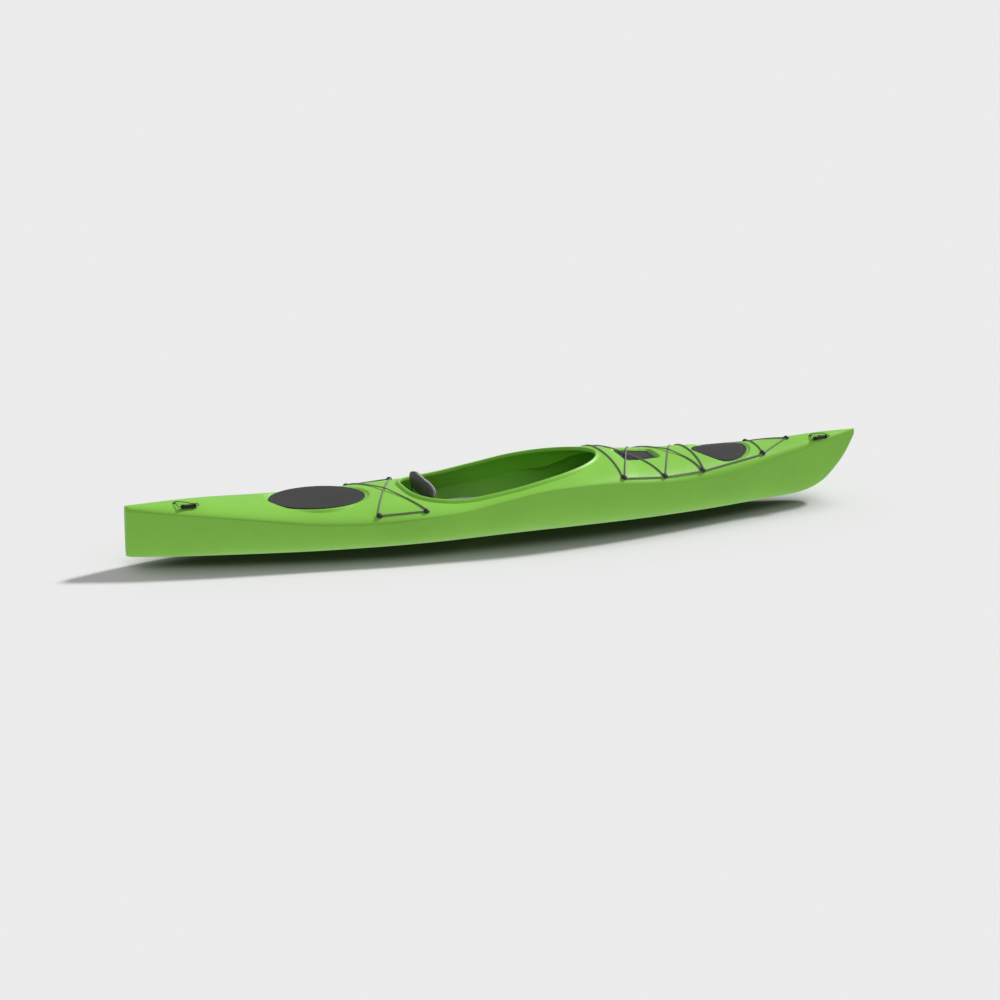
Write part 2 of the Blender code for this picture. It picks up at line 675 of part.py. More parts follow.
def deck_cords():
    """Every cord on deck as (name, path, diameter, fittings it passes under)."""
    place = {}
    for name, (s, y) in FITTINGS.items():
        place[f"{name}_port"] = (s, y - HOOK_IN)
        place[f"{name}_starboard"] = (s, -y + HOOK_IN)
    bungee_lift = BUNGEE_D / 2 + CORD_LIFT
    line_lift = LINE_D / 2 + CORD_LIFT
    hump = BUNGEE_D + .0009
    rear_names = ["rear_aft_starboard", "rear_fore_port", "rear_aft_port", "rear_fore_starboard"]
    front_names = ["front_aft_starboard", "front_aft_port", "front_mid_starboard",
                   "front_fore_port", "front_fore_starboard", "front_mid_port"]
    rear_route, front_route = ([place[n] for n in names] for names in (rear_names, front_names))
    rear_bumps, front_bumps = [None] * 4, [None] * 6
    for route, bumps, lower, upper in ((rear_route, rear_bumps, 0, 2),
                                       (front_route, front_bumps, 2, 4),
                                       (front_route, front_bumps, 1, 5)):
        ends = [route[upper], route[(upper + 1) % len(route)], route[lower], route[lower + 1]]
        bumps[upper] = (crossing(*ends), hump)
    rear = laced(rear_route, bungee_lift, CORD_STEP, rear_bumps)
    front = laced(front_route, bungee_lift, CORD_STEP, front_bumps)
    cords = [("rear_bungee", rear, BUNGEE_D, rear_names),
             ("front_bungee", front, BUNGEE_D, front_names)]
    ends = place["bow_starboard"], place["bow_port"]
    cords.append(("bow_cord", taut(*ends, line_lift, .02), LINE_D, ["bow_starboard", "bow_port"]))
    for side, sign in (("port", 1), ("starboard", -1)):
        names = [f"{n}_{side}" for n in ("front_aft", "front_mid", "front_fore", "bow")]
        outer = [(s, sign * (y + LINE_OUT * deck_normal(s, y).z))
                 for s, y in (FITTINGS[n] for n in ("front_aft", "front_mid", "front_fore", "bow"))]
        outer[0] = (outer[0][0] + .002, outer[0][1])
        path = []
        for start, end in zip(outer, outer[1:] + [(TIP_FITTING - .002, sign * .0055)]):
            path += taut(start, end, line_lift, .045)[0 if not path else 1:]
        cords.append((f"deck_line_{side}", path, LINE_D, names + ["tip"]))
    return cords


def fittings(cords):
    """Round deck eyes, each cut by a channel for every cord that runs under it."""
    dome = [(.004, FITTING_H), (.0095, FITTING_H - .0015), (.0135, FITTING_H - .005),
            (FITTING_D / 2, FITTING_H - .009), (FITTING_D / 2, 0)]
    places = {"tip": (TIP_FITTING, 0)}
    for name, (s, y) in FITTINGS.items():
        places[f"{name}_port"] = (s, y)
        places[f"{name}_starboard"] = (s, -y)
    made = {}
    for name, (s, y) in places.items():
        made[name] = turned(f"fitting_{name}", dome, 16, on_deck(s, y, .0006),
                            deck_normal(s, y), BLACK, roughness=.45)
    for name, path, diameter, under in cords:
        tool = tube(f"{name}_channel", path, diameter + CHANNEL_CLEAR, GREY, cutters)
        for fitting in under:
            cut(made[fitting], tool)


def toggle(name, anchor, bar, tilt):
    """A hollow grip on a rope loop that comes up through an eyelet in the deck."""
    eye = on_deck(*anchor, .0006)
    turned(f"{name}_eyelet", [(.0075, .0035), (.0095, .0015), (.0095, 0)], 16, eye,
           deck_normal(*anchor), BLACK)
    centre = Vector((bar[0] - HALF, bar[1], bar[2]))
    slope = Vector((math.cos(math.radians(tilt)), 0, math.sin(math.radians(tilt))))
    half = TOGGLE_LENGTH / 2
    outside = [(TOGGLE_D * .36, half), (TOGGLE_D * .5, half - .005), (TOGGLE_D * .42, half * .35),
               (TOGGLE_D * .42, -half * .35), (TOGGLE_D * .5, -half + .005),
               (TOGGLE_D * .36, -half)]
    grip = turned(name, outside, 12, centre, slope, BLACK)
    tab = box(f"{name}_tab", (-.010, -.0035, -.0045), (.010, .0130, .0045), BLACK, group=cutters)
    rise = math.atan2(deck_height(bar[0], bar[1] + .022) + .009 - bar[2], .022)
    tab.rotation_euler = (rise, 0, 0)
    tab.location = centre + Vector((0, .0045, 0))
    combine(grip, tab, "UNION")
    top = eye + deck_normal(*anchor) * (.0035 + 4 * GAP + ROPE_D / 2)
    aft, fore = centre - slope * (half + .009), centre + slope * (half + .010)
    inner = on_deck(bar[0] + .030, bar[1] + .032, .007)
    route = [top + Vector((0, -.0035, 0)), aft.lerp(top, .5) + Vector((-.004, 0, .002)),
             aft.lerp(top, .15) + Vector((-.002, 0, 0)), aft, centre - slope * half * .6, centre,
             centre + slope * half * .6, fore, fore + Vector((.004, .010, .002)),
             fore + Vector((-.003, .020, .004)), inner, top.lerp(inner, .5) + Vector((0, 0, .003)),
             top + Vector((.003, .0035, 0))]
    tube(f"{name}_rope", rounded(route, 2), ROPE_D, GREY)
    cut(grip, tube(f"{name}_bore", rounded(route, 2), ROPE_D + .0008, GREY, cutters))


def rounded(route, steps):
    """A smooth curve through the route's points."""
    points = []
    for i in range(len(route) - 1):
        a, b = route[max(i - 1, 0)], route[i]
        c, d = route[i + 1], route[min(i + 2, len(route) - 1)]
        for k in range(steps):
            t = k / steps
            points.append(.5 * ((2 * b) + (c - a) * t + (2 * a - 5 * b + 4 * c - d) * t * t
                                + (3 * b - a - 3 * c + d) * t ** 3))
    return points + [route[-1].copy()]


# ---------------------------------------------------------------- assembly
shells()
coaming()
hatches()
bulkhead("rear_bulkhead", 1.295, 1.325)
bulkhead("front_bulkhead", 2.80, 2.83)
backrest(seat())
foot_braces()
deck_cord_list = deck_cords()
for cord_name, cord_path, cord_diameter, _ in deck_cord_list:
    tube(cord_name, cord_path, cord_diameter, GREY)
fittings(deck_cord_list)
toggle("stern_toggle", **STERN_TOGGLE)
toggle("bow_toggle", **BOW_TOGGLE)
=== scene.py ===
import math

import bmesh
import bpy
import numpy as np
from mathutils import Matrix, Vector


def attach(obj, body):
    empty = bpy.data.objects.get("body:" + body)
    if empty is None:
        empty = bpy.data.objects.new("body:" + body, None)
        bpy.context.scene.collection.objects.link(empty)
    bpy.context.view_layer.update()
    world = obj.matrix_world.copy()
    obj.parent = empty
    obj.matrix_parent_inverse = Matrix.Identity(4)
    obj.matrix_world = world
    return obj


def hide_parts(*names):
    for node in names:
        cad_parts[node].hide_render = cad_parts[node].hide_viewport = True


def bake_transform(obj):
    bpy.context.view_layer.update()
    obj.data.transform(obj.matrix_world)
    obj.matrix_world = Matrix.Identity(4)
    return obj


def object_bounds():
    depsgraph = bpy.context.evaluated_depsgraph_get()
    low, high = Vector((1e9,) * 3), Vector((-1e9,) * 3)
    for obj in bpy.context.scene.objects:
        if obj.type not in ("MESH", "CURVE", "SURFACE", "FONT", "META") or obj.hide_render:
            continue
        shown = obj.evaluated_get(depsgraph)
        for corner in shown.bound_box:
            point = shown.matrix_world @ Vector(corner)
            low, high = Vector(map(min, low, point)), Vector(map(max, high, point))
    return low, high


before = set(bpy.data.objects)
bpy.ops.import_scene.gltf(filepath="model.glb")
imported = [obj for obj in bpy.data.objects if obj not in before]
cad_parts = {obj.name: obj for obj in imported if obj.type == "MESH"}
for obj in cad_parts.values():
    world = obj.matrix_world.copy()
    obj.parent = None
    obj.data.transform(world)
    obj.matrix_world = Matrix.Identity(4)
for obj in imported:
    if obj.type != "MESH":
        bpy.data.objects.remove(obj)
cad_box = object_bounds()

# ---------------------------------------------------------------- driving dimensions
LENGTH = 3.75
HALF = LENGTH / 2
WALL = .005
SEAM = .00015             # half of the gap at the sheer
FAIR_REACH = .032         # over which the bends of a long curve are spread
HALF_BEAM = [(0, .022), (.012, .033), (.03, .040), (.28, .130), (.63, .215), (1.01, .285),
             (1.52, .335), (2.05, .332), (2.48, .300), (2.87, .232), (3.29, .122),
             (3.58, .052), (3.75, .005)]
SHEER = [(0, .256), (.28, .232), (.63, .195), (.88, .164), (1.14, .154), (1.41, .168),
         (1.60, .184), (1.78, .216), (2.05, .250), (2.23, .248), (2.48, .225), (2.74, .203),
         (3.0, .197), (3.29, .233), (3.58, .276), (3.75, .301)]
KEEL = [(0, .030), (.03, .024), (.36, .010), (.80, .001), (1.2, 0), (2.2, 0), (2.8, .003),
        (3.2, .010), (3.41, .017), (3.49, .030), (3.573, .064), (3.653, .135), (3.706, .203),
        (3.75, .285)]
RIDGE = [(0, .277), (.40, .265), (.68, .247), (.94, .238), (1.28, .233), (1.57, .225),
         (1.85, .252), (2.0, .280), (2.16, .304), (2.28, .312), (2.42, .320), (2.5, .301),
         (2.75, .291), (3.0, .292), (3.21, .287), (3.4, .298), (3.57, .312), (3.75, .317)]
SHOULDER = [(0, .65), (2.6, .60), (3.2, .42), (3.75, .42)]
HULL_POWER = 3.2
DECK_POWER = 2.2
KEEL_ANGLE = math.radians(6)      # half of the level keel panel, round the section

COCKPIT = dict(centre=1.871, half_length=.492, half_width=.261, aft_power=3.0, fore_power=2.0)
REAR_HATCH = dict(centre=.943, half_length=.236, half_width=.187, rim=.034, seat=.2245)
FRONT_HATCH = dict(aft=2.885, widest=3.015, fore=3.160, half_width=.145, rim=.024, seat=.2790,
                   crown=1.2, point=1.25)
DAY_HATCH = dict(aft=2.495, fore=2.668, aft_half=.096, fore_half=.067, corner=.012, rim=.020,
                 seat=.2885, fall=.07)
COVER_THICK = .006
HATCH_REACH = [(.68, 1.20), (2.47, 3.19)]     # stations beside the hatches
SEAT_MARGIN = .007        # level deck beyond a cover's edge
SEAT_WALL = .011          # width of the step from the seat to the deck

FITTING_D = .030
FITTING_H = .014
CHANNEL_CLEAR = .0012
BUNGEE_D = .0065
LINE_D = .006
HOOK_R = .006
HOOK_IN = .004
LINE_OUT = .0098
CORD_LIFT = .0009
BUMP_REACH = .020
FITTINGS = {
    "rear_aft": (1.172, .271), "rear_fore": (1.400, .291), "front_aft": (2.411, .281),
    "front_mid": (2.635, .253), "front_fore": (2.850, .212), "bow": (3.210, .112)}
TIP_FITTING = 3.383

TOGGLE_LENGTH = .074
TOGGLE_D = .020
ROPE_D = .004
STERN_TOGGLE = dict(anchor=(.236, -.010), bar=(.287, -.084, .2710), tilt=0)
BOW_TOGGLE = dict(anchor=(3.506, -.020), bar=(3.542, -.059, .3025), tilt=4)

PIVOT = (1.475, .100)
BACKREST_Y = .178
RAIL = dict(aft=(2.30, .289), fore=(2.70, .243), height=.115)
PEDAL_AT = .45

SUN_TURN = 20             # degrees from +X to +Y
SUN_RISE = 40
SUN_POWER = 2.58
SUN_ANGLE = 7
SKY = .36
FLOOR_TONE = .943
FLOOR_BOUNCE = .63        # light the floor gives back by itself
FLOOR_REACH = 60
BACKDROP = .838           # the tone the camera sees behind the floor
FLOOR_DROP = .03          # the boat stands a little above the stage's floor

CAMERA_AT = (-6.1878, -17.655, 5.6106)
CAMERA_TURN = -19.310     # azimuth, degrees
CAMERA_RISE = 16.345      # elevation, degrees
CAMERA_LENS = 144
SENSOR = 36
CLIP_END = 200

GREEN = (.300, .745, .072)
HATCH_GREY = (.040, .040, .043)
BLACK = (.020, .020, .022)
CORD_GREY = (.235, .235, .235)
PAD_GREY = (.42, .42, .42)
SHELL_GREY = (.085, .085, .088)
ROPE_GREEN = (.030, .075, .020)


# ---------------------------------------------------------------- node trees
def node(tree, kind, inputs=None, **settings):
    """A node added to a tree; an input is a value, or another node's output to link."""
    made = tree.nodes.new(kind)
    for name, value in settings.items():
        setattr(made, name, value)
    for name, value in (inputs or {}).items():
        if isinstance(value, bpy.types.NodeSocket):
            tree.links.new(value, made.inputs[name])
        else:
            made.inputs[name].default_value = value
    return made


def grey(level):
    return level, level, level, 1


def linked(name, mesh):
    """An object on the scene's own collection."""
    made = bpy.data.objects.new(name, mesh)
    bpy.context.scene.collection.objects.link(made)
    return made


# ---------------------------------------------------------------- camera, light and floor
def stage():
    scene = bpy.context.scene
    camera = linked("camera", bpy.data.cameras.new("camera"))
    camera.data.lens = CAMERA_LENS
    camera.data.sensor_width = SENSOR
    camera.data.clip_end = CLIP_END
    camera.location = CAMERA_AT
    camera.rotation_euler = (math.radians(90 - CAMERA_RISE), 0, math.radians(CAMERA_TURN))
    scene.camera = camera
    scene.view_settings.view_transform = "Standard"

    sun = linked("key", bpy.data.lights.new("key", "SUN"))
    sun.data.energy = SUN_POWER
    sun.data.angle = math.radians(SUN_ANGLE)
    turn, rise = math.radians(SUN_TURN), math.radians(SUN_RISE)
    towards = Vector((math.cos(turn) * math.cos(rise), math.sin(turn) * math.cos(rise),
                      math.sin(rise)))
    sun.rotation_mode = "QUATERNION"
    sun.rotation_quaternion = Vector((0, 0, 1)).rotation_difference(towards)

    scene.world = bpy.data.worlds.new("studio")
    scene.world.use_nodes = True
    tree = scene.world.node_tree
    light = tree.nodes["Background"]
    light.inputs["Color"].default_value = grey(1)
    light.inputs["Strength"].default_value = SKY
    seen = node(tree, "ShaderNodeBackground", {"Color": grey(BACKDROP)})
    path = node(tree, "ShaderNodeLightPath")
    mix = node(tree, "ShaderNodeMixShader", {0: path.outputs["Is Camera Ray"],
                                             1: light.outputs[0], 2: seen.outputs[0]})
    tree.links.new(mix.outputs[0], tree.nodes["World Output"].inputs["Surface"])

    mesh = bpy.data.meshes.new("floor")
    low, reach = float(cad_box[0][2]) - FLOOR_DROP, FLOOR_REACH
    mesh.from_pydata([(-reach, -reach, low), (reach, -reach, low), (reach, reach, low),
                      (-reach, reach, low)], [], [(0, 1, 2, 3)])
    linked("floor", mesh)
    paint, tree, shader = material("floor", grey(1)[:3], 1, specular=0)
    # Painted shade: ambient occlusion darkens the floor's colour from its even tone to
    # near-black where the boat hangs close above it, a painted contact shadow.
    near = node(tree, "ShaderNodeAmbientOcclusion", {"Distance": .45})
    share = stretched(tree, near.outputs["AO"], 0, 1, .20, .80)
    tree.links.new(tint(tree, share, grey(.12)[:3], grey(FLOOR_TONE)[:3]),
                   shader.inputs["Base Color"])
    path = node(tree, "ShaderNodeLightPath")
    # The floor lights the boat, but takes no light back off the boat's bottom.
    first = node(tree, "ShaderNodeMath", {0: path.outputs["Diffuse Depth"], 1: 1.5},
                 operation="LESS_THAN")
    bounce = node(tree, "ShaderNodeEmission", {"Color": grey(FLOOR_BOUNCE),
                                               "Strength": first.outputs[0]})
    mix = node(tree, "ShaderNodeMixShader", {0: path.outputs["Is Camera Ray"],
                                             1: bounce.outputs[0], 2: shader.outputs[0]})
    tree.links.new(mix.outputs[0], tree.nodes["Material Output"].inputs["Surface"])
    mesh.materials.append(paint)


# ---------------------------------------------------------------- materials
def material(name, colour, roughness, metallic=0.0, specular=.5, sheen=0.0):
    made = bpy.data.materials.new(name)
    made.use_nodes = True
    shader = made.node_tree.nodes["Principled BSDF"]
    for socket, value in (("Base Color", (*colour, 1)), ("Roughness", roughness),
                          ("Metallic", metallic), ("Specular IOR Level", specular),
                          ("Sheen Weight", sheen)):
        shader.inputs[socket].default_value = value
    return made, made.node_tree, shader


def place(tree, output="Object"):
    return node(tree, "ShaderNodeTexCoord").outputs[output]


def noise(tree, where, scale, detail=3):
    return node(tree, "ShaderNodeTexNoise", {"Vector": where, "Scale": scale,
                                             "Detail": detail}).outputs["Fac"]


def stretched(tree, source, low, high, start=.3, end=.7):
    """A number from a texture, stretched to run from low to high."""
    return node(tree, "ShaderNodeMapRange",
                {"Value": source, "From Min": start, "From Max": end, "To Min": low,
                 "To Max": high}).outputs["Result"]


def tint(tree, factor, dark, light):
    mix = node(tree, "ShaderNodeMix", data_type="RGBA")
    mix.inputs["A"].default_value = (*dark, 1)
    mix.inputs["B"].default_value = (*light, 1)
    tree.links.new(factor, mix.inputs["Factor"])
    return mix.outputs["Result"]


def maths(tree, operation, *inputs):
    return node(tree, "ShaderNodeMath", dict(enumerate(inputs)), operation=operation).outputs[0]


def surface(tree, shader, colour, relief, strength, depth, roughness=None):
    """Link a colour, a relief and, if given, a roughness to the shader."""
    if colour:
        tree.links.new(colour, shader.inputs["Base Color"])
    if roughness:
        tree.links.new(roughness, shader.inputs["Roughness"])
    bump = node(tree, "ShaderNodeBump", {"Height": relief, "Strength": strength,
                                         "Distance": depth})
    tree.links.new(bump.outputs["Normal"], shader.inputs["Normal"])


def shaded(colour, by):
    return tuple(c * by for c in colour)


def moulded(name, colour, roughness, grain, relief, drift, specular):
    """Moulded plastic: a fine pebble, faint cloudy colour and uneven sheen."""
    made, tree, shader = material(name, colour, roughness, specular=specular)
    cloud = stretched(tree, noise(tree, place(tree), 5, 4), 0, 1)
    rub = stretched(tree, noise(tree, place(tree), 38, 5), roughness - .05, roughness + .06)
    surface(tree, shader,
            tint(tree, cloud, shaded(colour, 1 - drift), shaded(colour, 1 + drift / 2)),
            noise(tree, place(tree), grain, 2), relief, .0006, rub)
    return made


def woven(name, colour, scale):
    """Coarse plain weave: two crossing waves give the threads, noise the wear."""
    made, tree, shader = material(name, colour, .88, specular=.25, sheen=.25)
    waves = [node(tree, "ShaderNodeTexWave",
                  {"Vector": place(tree), "Scale": scale, "Distortion": .6, "Detail": 2},
                  bands_direction=direction).outputs["Fac"] for direction in ("X", "Y")]
    weave = maths(tree, "MULTIPLY", *waves)
    wear = stretched(tree, noise(tree, place(tree), 24, 4), 0, .45)
    surface(tree, shader, tint(tree, maths(tree, "MULTIPLY_ADD", weave, .55, wear),
                               shaded(colour, .80), shaded(colour, 1.12)), weave, .45, .0008)
    return made


def braided(name, colour, turns):
    """Braid on a cord: strands wind both ways round it, in the cord's own coordinates."""
    made, tree, shader = material(name, colour, .72, specular=.3, sheen=.2)
    strands = []
    for lean in (45, -45):
        turn = node(tree, "ShaderNodeMapping", {"Vector": place(tree, "UV"),
                                                "Rotation": (0, 0, math.radians(lean)),
                                                "Scale": (turns, turns, 1)})
        strands.append(node(tree, "ShaderNodeTexWave", {"Vector": turn.outputs["Vector"],
                                                        "Scale": 1}).outputs["Fac"])
    braid = maths(tree, "MAXIMUM", *strands)
    surface(tree, shader, tint(tree, braid, shaded(colour, .62), shaded(colour, 1.15)),
            braid, .6, .0006)
    return made


def foamed(name, colour):
    """Closed-cell foam: small pits over a matt skin."""
    made, tree, shader = material(name, colour, .92)
    cells = node(tree, "ShaderNodeTexVoronoi", {"Vector": place(tree), "Scale": 420})
    pits = cells.outputs["Distance"]
    surface(tree, shader, tint(tree, pits, shaded(colour, 1.3), shaded(colour, .7)), pits,
            .4, .0008)
    return made


def metal(name, colour, roughness):
    """Drawn metal: fine scratches that run along the piece."""
    made, tree, shader = material(name, colour, roughness, metallic=1)
    pull = node(tree, "ShaderNodeMapping", {"Vector": place(tree), "Scale": (20, 900, 900)})
    scratch = noise(tree, pull.outputs["Vector"], 1, 2)
    surface(tree, shader, None, scratch, .1, .0003,
            stretched(tree, scratch, roughness - .08, roughness + .1))
    return made


stage()

DECK_PLASTIC = moulded("deck_plastic", GREEN, .42, 900, .10, .05, .5)
HATCH_RUBBER = moulded("hatch_rubber", HATCH_GREY, .62, 1400, .22, .12, .35)
# A real gasket, made near-black as painted shade for the gap under each cover's edge.
GASKET_SHADE = moulded("gasket_rubber_painted_shade", (.008, .008, .008), .8, 1200, .15, .1, .2)
BLACK_PLASTIC = moulded("black_plastic", BLACK, .42, 1500, .18, .12, .5)
FITTING_NYLON = moulded("fitting_nylon", (.034, .034, .037), .40, 1500, .15, .1, .5)
GRIP_RUBBER = moulded("grip_rubber", (.022, .022, .026), .50, 1700, .25, .12, .4)
SHELL_PLASTIC = moulded("backrest_plastic", SHELL_GREY, .55, 1500, .20, .10, .4)
SCREW_STEEL = metal("screw_steel", (.10, .10, .10), .42)
PIN_STEEL = metal("pin_steel", (.60, .60, .61), .30)
RAIL_METAL = metal("rail_metal", (.30, .30, .31), .42)
FOAM = foamed("foam", (.030, .030, .034))
PAD_FABRIC = woven("pad_fabric", PAD_GREY, 260)
BUNGEE_BRAID = braided("bungee_braid", CORD_GREY, 90)
LINE_BRAID = braided("line_braid", CORD_GREY, 90)
ROPE_BRAID = braided("rope_braid", ROPE_GREEN, 90)


# ---------------------------------------------------------------- mesh helpers
def piece(name, verts, faces, materials, body="root", stands_for=(), slot=None, sharp=38):
    """A smooth-shaded mesh object that rides on a body."""
    mesh = bpy.data.meshes.new(name)
    mesh.from_pydata([tuple(map(float, v)) for v in verts], [], faces)
    made = bpy.data.objects.new(name, mesh)
    bpy.context.scene.collection.objects.link(made)
    for each in materials if isinstance(materials, (list, tuple)) else [materials]:
        mesh.materials.append(each)
    outward(made)
    soften(made, sharp)
    return enrol(made, body, stands_for)


def outward(made):
    edit = bmesh.new()
    edit.from_mesh(made.data)
    bmesh.ops.recalc_face_normals(edit, faces=edit.faces)
    edit.to_mesh(made.data)
    edit.free()


def soften(made, sharp):
    made.data.shade_smooth()
    made.data.set_sharp_from_angle(angle=math.radians(sharp))


def enrol(made, body, stands_for=()):
    if body:
        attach(made, body)
    if stands_for:
        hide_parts(*([stands_for] if isinstance(stands_for, str) else stands_for))
    return made


def apply_all(made):
    """Turn the object's modifiers into mesh."""
    depsgraph = bpy.context.evaluated_depsgraph_get()
    mesh = bpy.data.meshes.new_from_object(made.evaluated_get(depsgraph))
    made.modifiers.clear()
    made.data = mesh
    return made


def ring_faces(rows, count, closed=True, wrap=False):
    """Quads between successive rings of count points; wrap joins the last ring to the first."""
    faces = []
    for r in range(rows if wrap else rows - 1):
        n = (r + 1) % rows
        for i in range(count if closed else count - 1):
            j = (i + 1) % count
            faces.append((r * count + i, r * count + j, n * count + j, n * count + i))
    return faces


def lofted(name, rings, materials, **kept):
    """A closed solid through rings of equal count, with flat ends."""
    count = len(rings[0])
    faces = ring_faces(len(rings), count)
    faces += [tuple(range(count)), tuple(range((len(rings) - 1) * count, len(rings) * count))]
    return piece(name, [v for ring in rings for v in ring], faces, materials, **kept)


def turned(name, profile, sides, at, axis, materials, **kept):
    """A solid of revolution about an axis: the profile is (radius, height), top to bottom."""
    turn = Vector((0, 0, 1)).rotation_difference(Vector(axis))
    at = Vector(at)
    rings = [[at + turn @ Vector((r * math.cos(2 * math.pi * i / sides),
                                  r * math.sin(2 * math.pi * i / sides), h))
              for i in range(sides)] for r, h in profile]
    return lofted(name, rings, materials, **kept)


def cut(target, tool, operation="DIFFERENCE"):
    """Cut or join at once, and drop the tool."""
    step = target.modifiers.new("cut", "BOOLEAN")
    step.operation = operation
    step.object = tool
    apply_all(target)
    bpy.data.objects.remove(tool, do_unlink=True)


def smooth(t):
    t = np.clip(t, 0, 1)
    return t * t * (3 - 2 * t)


def signed(value, power):
    return np.sign(value) * np.abs(value) ** power


# ---------------------------------------------------------------- hull and deck surfaces
def curve_through(knots):
    """Shape-preserving cubic through the knots."""
    x, y = (np.array(v, float) for v in zip(*knots))
    h = np.diff(x)
    slope = np.diff(y) / h
    d = np.zeros(len(x))
    for i in range(1, len(x) - 1):
        if slope[i - 1] * slope[i] > 0:
            w1, w2 = 2 * h[i] + h[i - 1], h[i] + 2 * h[i - 1]
            d[i] = (w1 + w2) / (w1 / slope[i - 1] + w2 / slope[i])
    d[0], d[-1] = slope[0], slope[-1]

    def value(at):
        at = np.clip(np.asarray(at, float), x[0], x[-1])
        i = np.clip(np.searchsorted(x, at) - 1, 0, len(h) - 1)
        t = (at - x[i]) / h[i]
        return ((1 + 2 * t) * (1 - t) ** 2 * y[i] + t * (1 - t) ** 2 * h[i] * d[i]
                + t * t * (3 - 2 * t) * y[i + 1] - t * t * (1 - t) * h[i] * d[i + 1])
    return value


def faired(knots, start, end):
    """The curve with its bends spread out between two stations."""
    curve = curve_through(knots)
    step = .0025
    s = np.arange(0, LENGTH + step / 2, step)
    v = curve(s)
    reach = int(3 * FAIR_REACH / step)
    weight = np.exp(-.5 * (np.arange(-reach, reach + 1) * step / FAIR_REACH) ** 2)
    spread_out = np.convolve(np.pad(v, reach, "edge"), weight / weight.sum(), "valid")
    share = smooth((s - start) / .15) * smooth((end - s) / .15)
    v = v + (spread_out - v) * share
    return lambda at: np.interp(at, s, v)


half_beam = faired(HALF_BEAM, .10, 3.60)
sheer = faired(SHEER, 0, LENGTH)
keel = faired(KEEL, .05, 3.30)
ridge = faired(RIDGE, 0, LENGTH)
shoulder = faired(SHOULDER, 0, LENGTH)


def rear_distance(s, y):
    """Roughly how far a point lies outside the rear hatch's cover, in plan."""
    h = REAR_HATCH
    return (np.hypot((s - h["centre"]) / h["half_length"], y / h["half_width"]) - 1) \
        * h["half_width"]


def front_distance(s, y):
    h = FRONT_HATCH
    ahead = s > h["widest"]
    reach = np.where(ahead, h["fore"] - h["widest"], h["widest"] - h["aft"])
    power = np.where(ahead, 2, 2 / h["point"])
    along = ((s - h["widest"]) / reach) ** 2
    return (np.sqrt(along + (np.abs(y) / h["half_width"]) ** power) - 1) * h["half_width"]


def day_distance(s, y):
    h = DAY_HATCH
    share = np.clip((s - h["aft"]) / (h["fore"] - h["aft"]), 0, 1)
    half = h["aft_half"] + (h["fore_half"] - h["aft_half"]) * share
    out_x = np.maximum(h["aft"] - s, s - h["fore"])
    out_y = np.abs(y) - half
    outside = np.hypot(np.maximum(out_x + h["corner"], 0), np.maximum(out_y + h["corner"], 0))
    return outside + np.minimum(np.maximum(out_x, out_y) + h["corner"], 0) - h["corner"]


def cockpit_distance(s, y):
    c = COCKPIT
    u, v = np.abs(s - c["centre"]) / c["half_length"], np.abs(y) / c["half_width"]
    power = np.where(s > c["centre"], c["fore_power"], c["aft_power"])
    return ((u ** power + v ** power) ** (1 / power) - 1) * c["half_width"]


def rear_seat(s, y):
    return REAR_HATCH["seat"] + 0 * s


def front_seat(s, y):
    return FRONT_HATCH["seat"] - FRONT_HATCH["crown"] * y * y


def day_seat(s, y):
    return DAY_HATCH["seat"] - DAY_HATCH["fall"] * (s - DAY_HATCH["aft"])


# Each seat's surface and plan, and whether the deck rises to it at the sides.
SEATS = [(rear_seat, rear_distance, True), (front_seat, front_distance, False),
         (day_seat, day_distance, False)]


def deck_height(s, y):
    """Height of the deck's outer face, with a seat and a step around each hatch."""
    s, y = np.asarray(s, float), np.asarray(y, float)
    b, edge, top = half_beam(s), sheer(s) + SEAM, ridge(s)
    f = np.minimum(np.abs(y) / b, 1)
    height = edge + (top - edge) * (1 - f ** DECK_POWER) ** shoulder(s)
    for seat, distance, rises in SEATS:
        share = 1 - smooth((distance(s, y) - SEAT_MARGIN) / SEAT_WALL)
        fall = height - np.maximum(seat(s, y), edge)
        height = height - share * (fall if rises else np.maximum(0, fall))
    return height


def deck_normal(s, y):
    d = .002
    return Vector((-float(deck_height(s + d, y) - deck_height(s - d, y)) / (2 * d),
                   -float(deck_height(s, y + d) - deck_height(s, y - d)) / (2 * d),
                   1)).normalized()


def on_deck(s, y, lift):
    return Vector((s - HALF, y, float(deck_height(s, y)))) + deck_normal(s, y) * lift


def hull_section(s, angles, inset=0.0):
    """Port sheer, round the keel, to the starboard sheer."""
    b, top, bottom = half_beam(s) - inset, sheer(s) - SEAM, keel(s) + inset
    y = b * np.sin(angles) ** (2 / HULL_POWER)
    lower = np.minimum(np.cos(angles) / math.cos(KEEL_ANGLE), 1)
    z = top - (top - bottom) * np.maximum(lower, 0) ** (2 / HULL_POWER)
    side = [(float(s) - HALF, float(p), float(q)) for p, q in zip(y, z)]
    return side[::-1] + [(x, -p, q) for x, p, q in side if p > 1e-9]


def section_angles(count):
    """From the keel to the sheer, close together at both ends."""
    even = np.linspace(0, math.pi / 2, count)
    falling = np.arccos(np.clip(np.linspace(1, 0, count) ** (HULL_POWER / 2), 0, 1))
    found = np.unique(np.round(np.concatenate([even, falling, [KEEL_ANGLE]]), 5))
    keep = [0.0]
    for a in found[1:]:
        if a - keep[-1] > .012:
            keep.append(float(a))
    keep[-1] = math.pi / 2
    return np.array(keep)


def stations(coarse, fine):
    """Along the whole boat, closer together at the ends and beside the hatches."""
    at = [0, .0015, .004, .008, .012, .018, .024, .03]
    tip = LENGTH - .12
    while at[-1] < tip - coarse:
        beside = any(low < at[-1] < high for low, high in HATCH_REACH)
        at.append(at[-1] + (fine if beside else coarse))
    return np.array(at + list(np.linspace(tip, LENGTH, 30)))


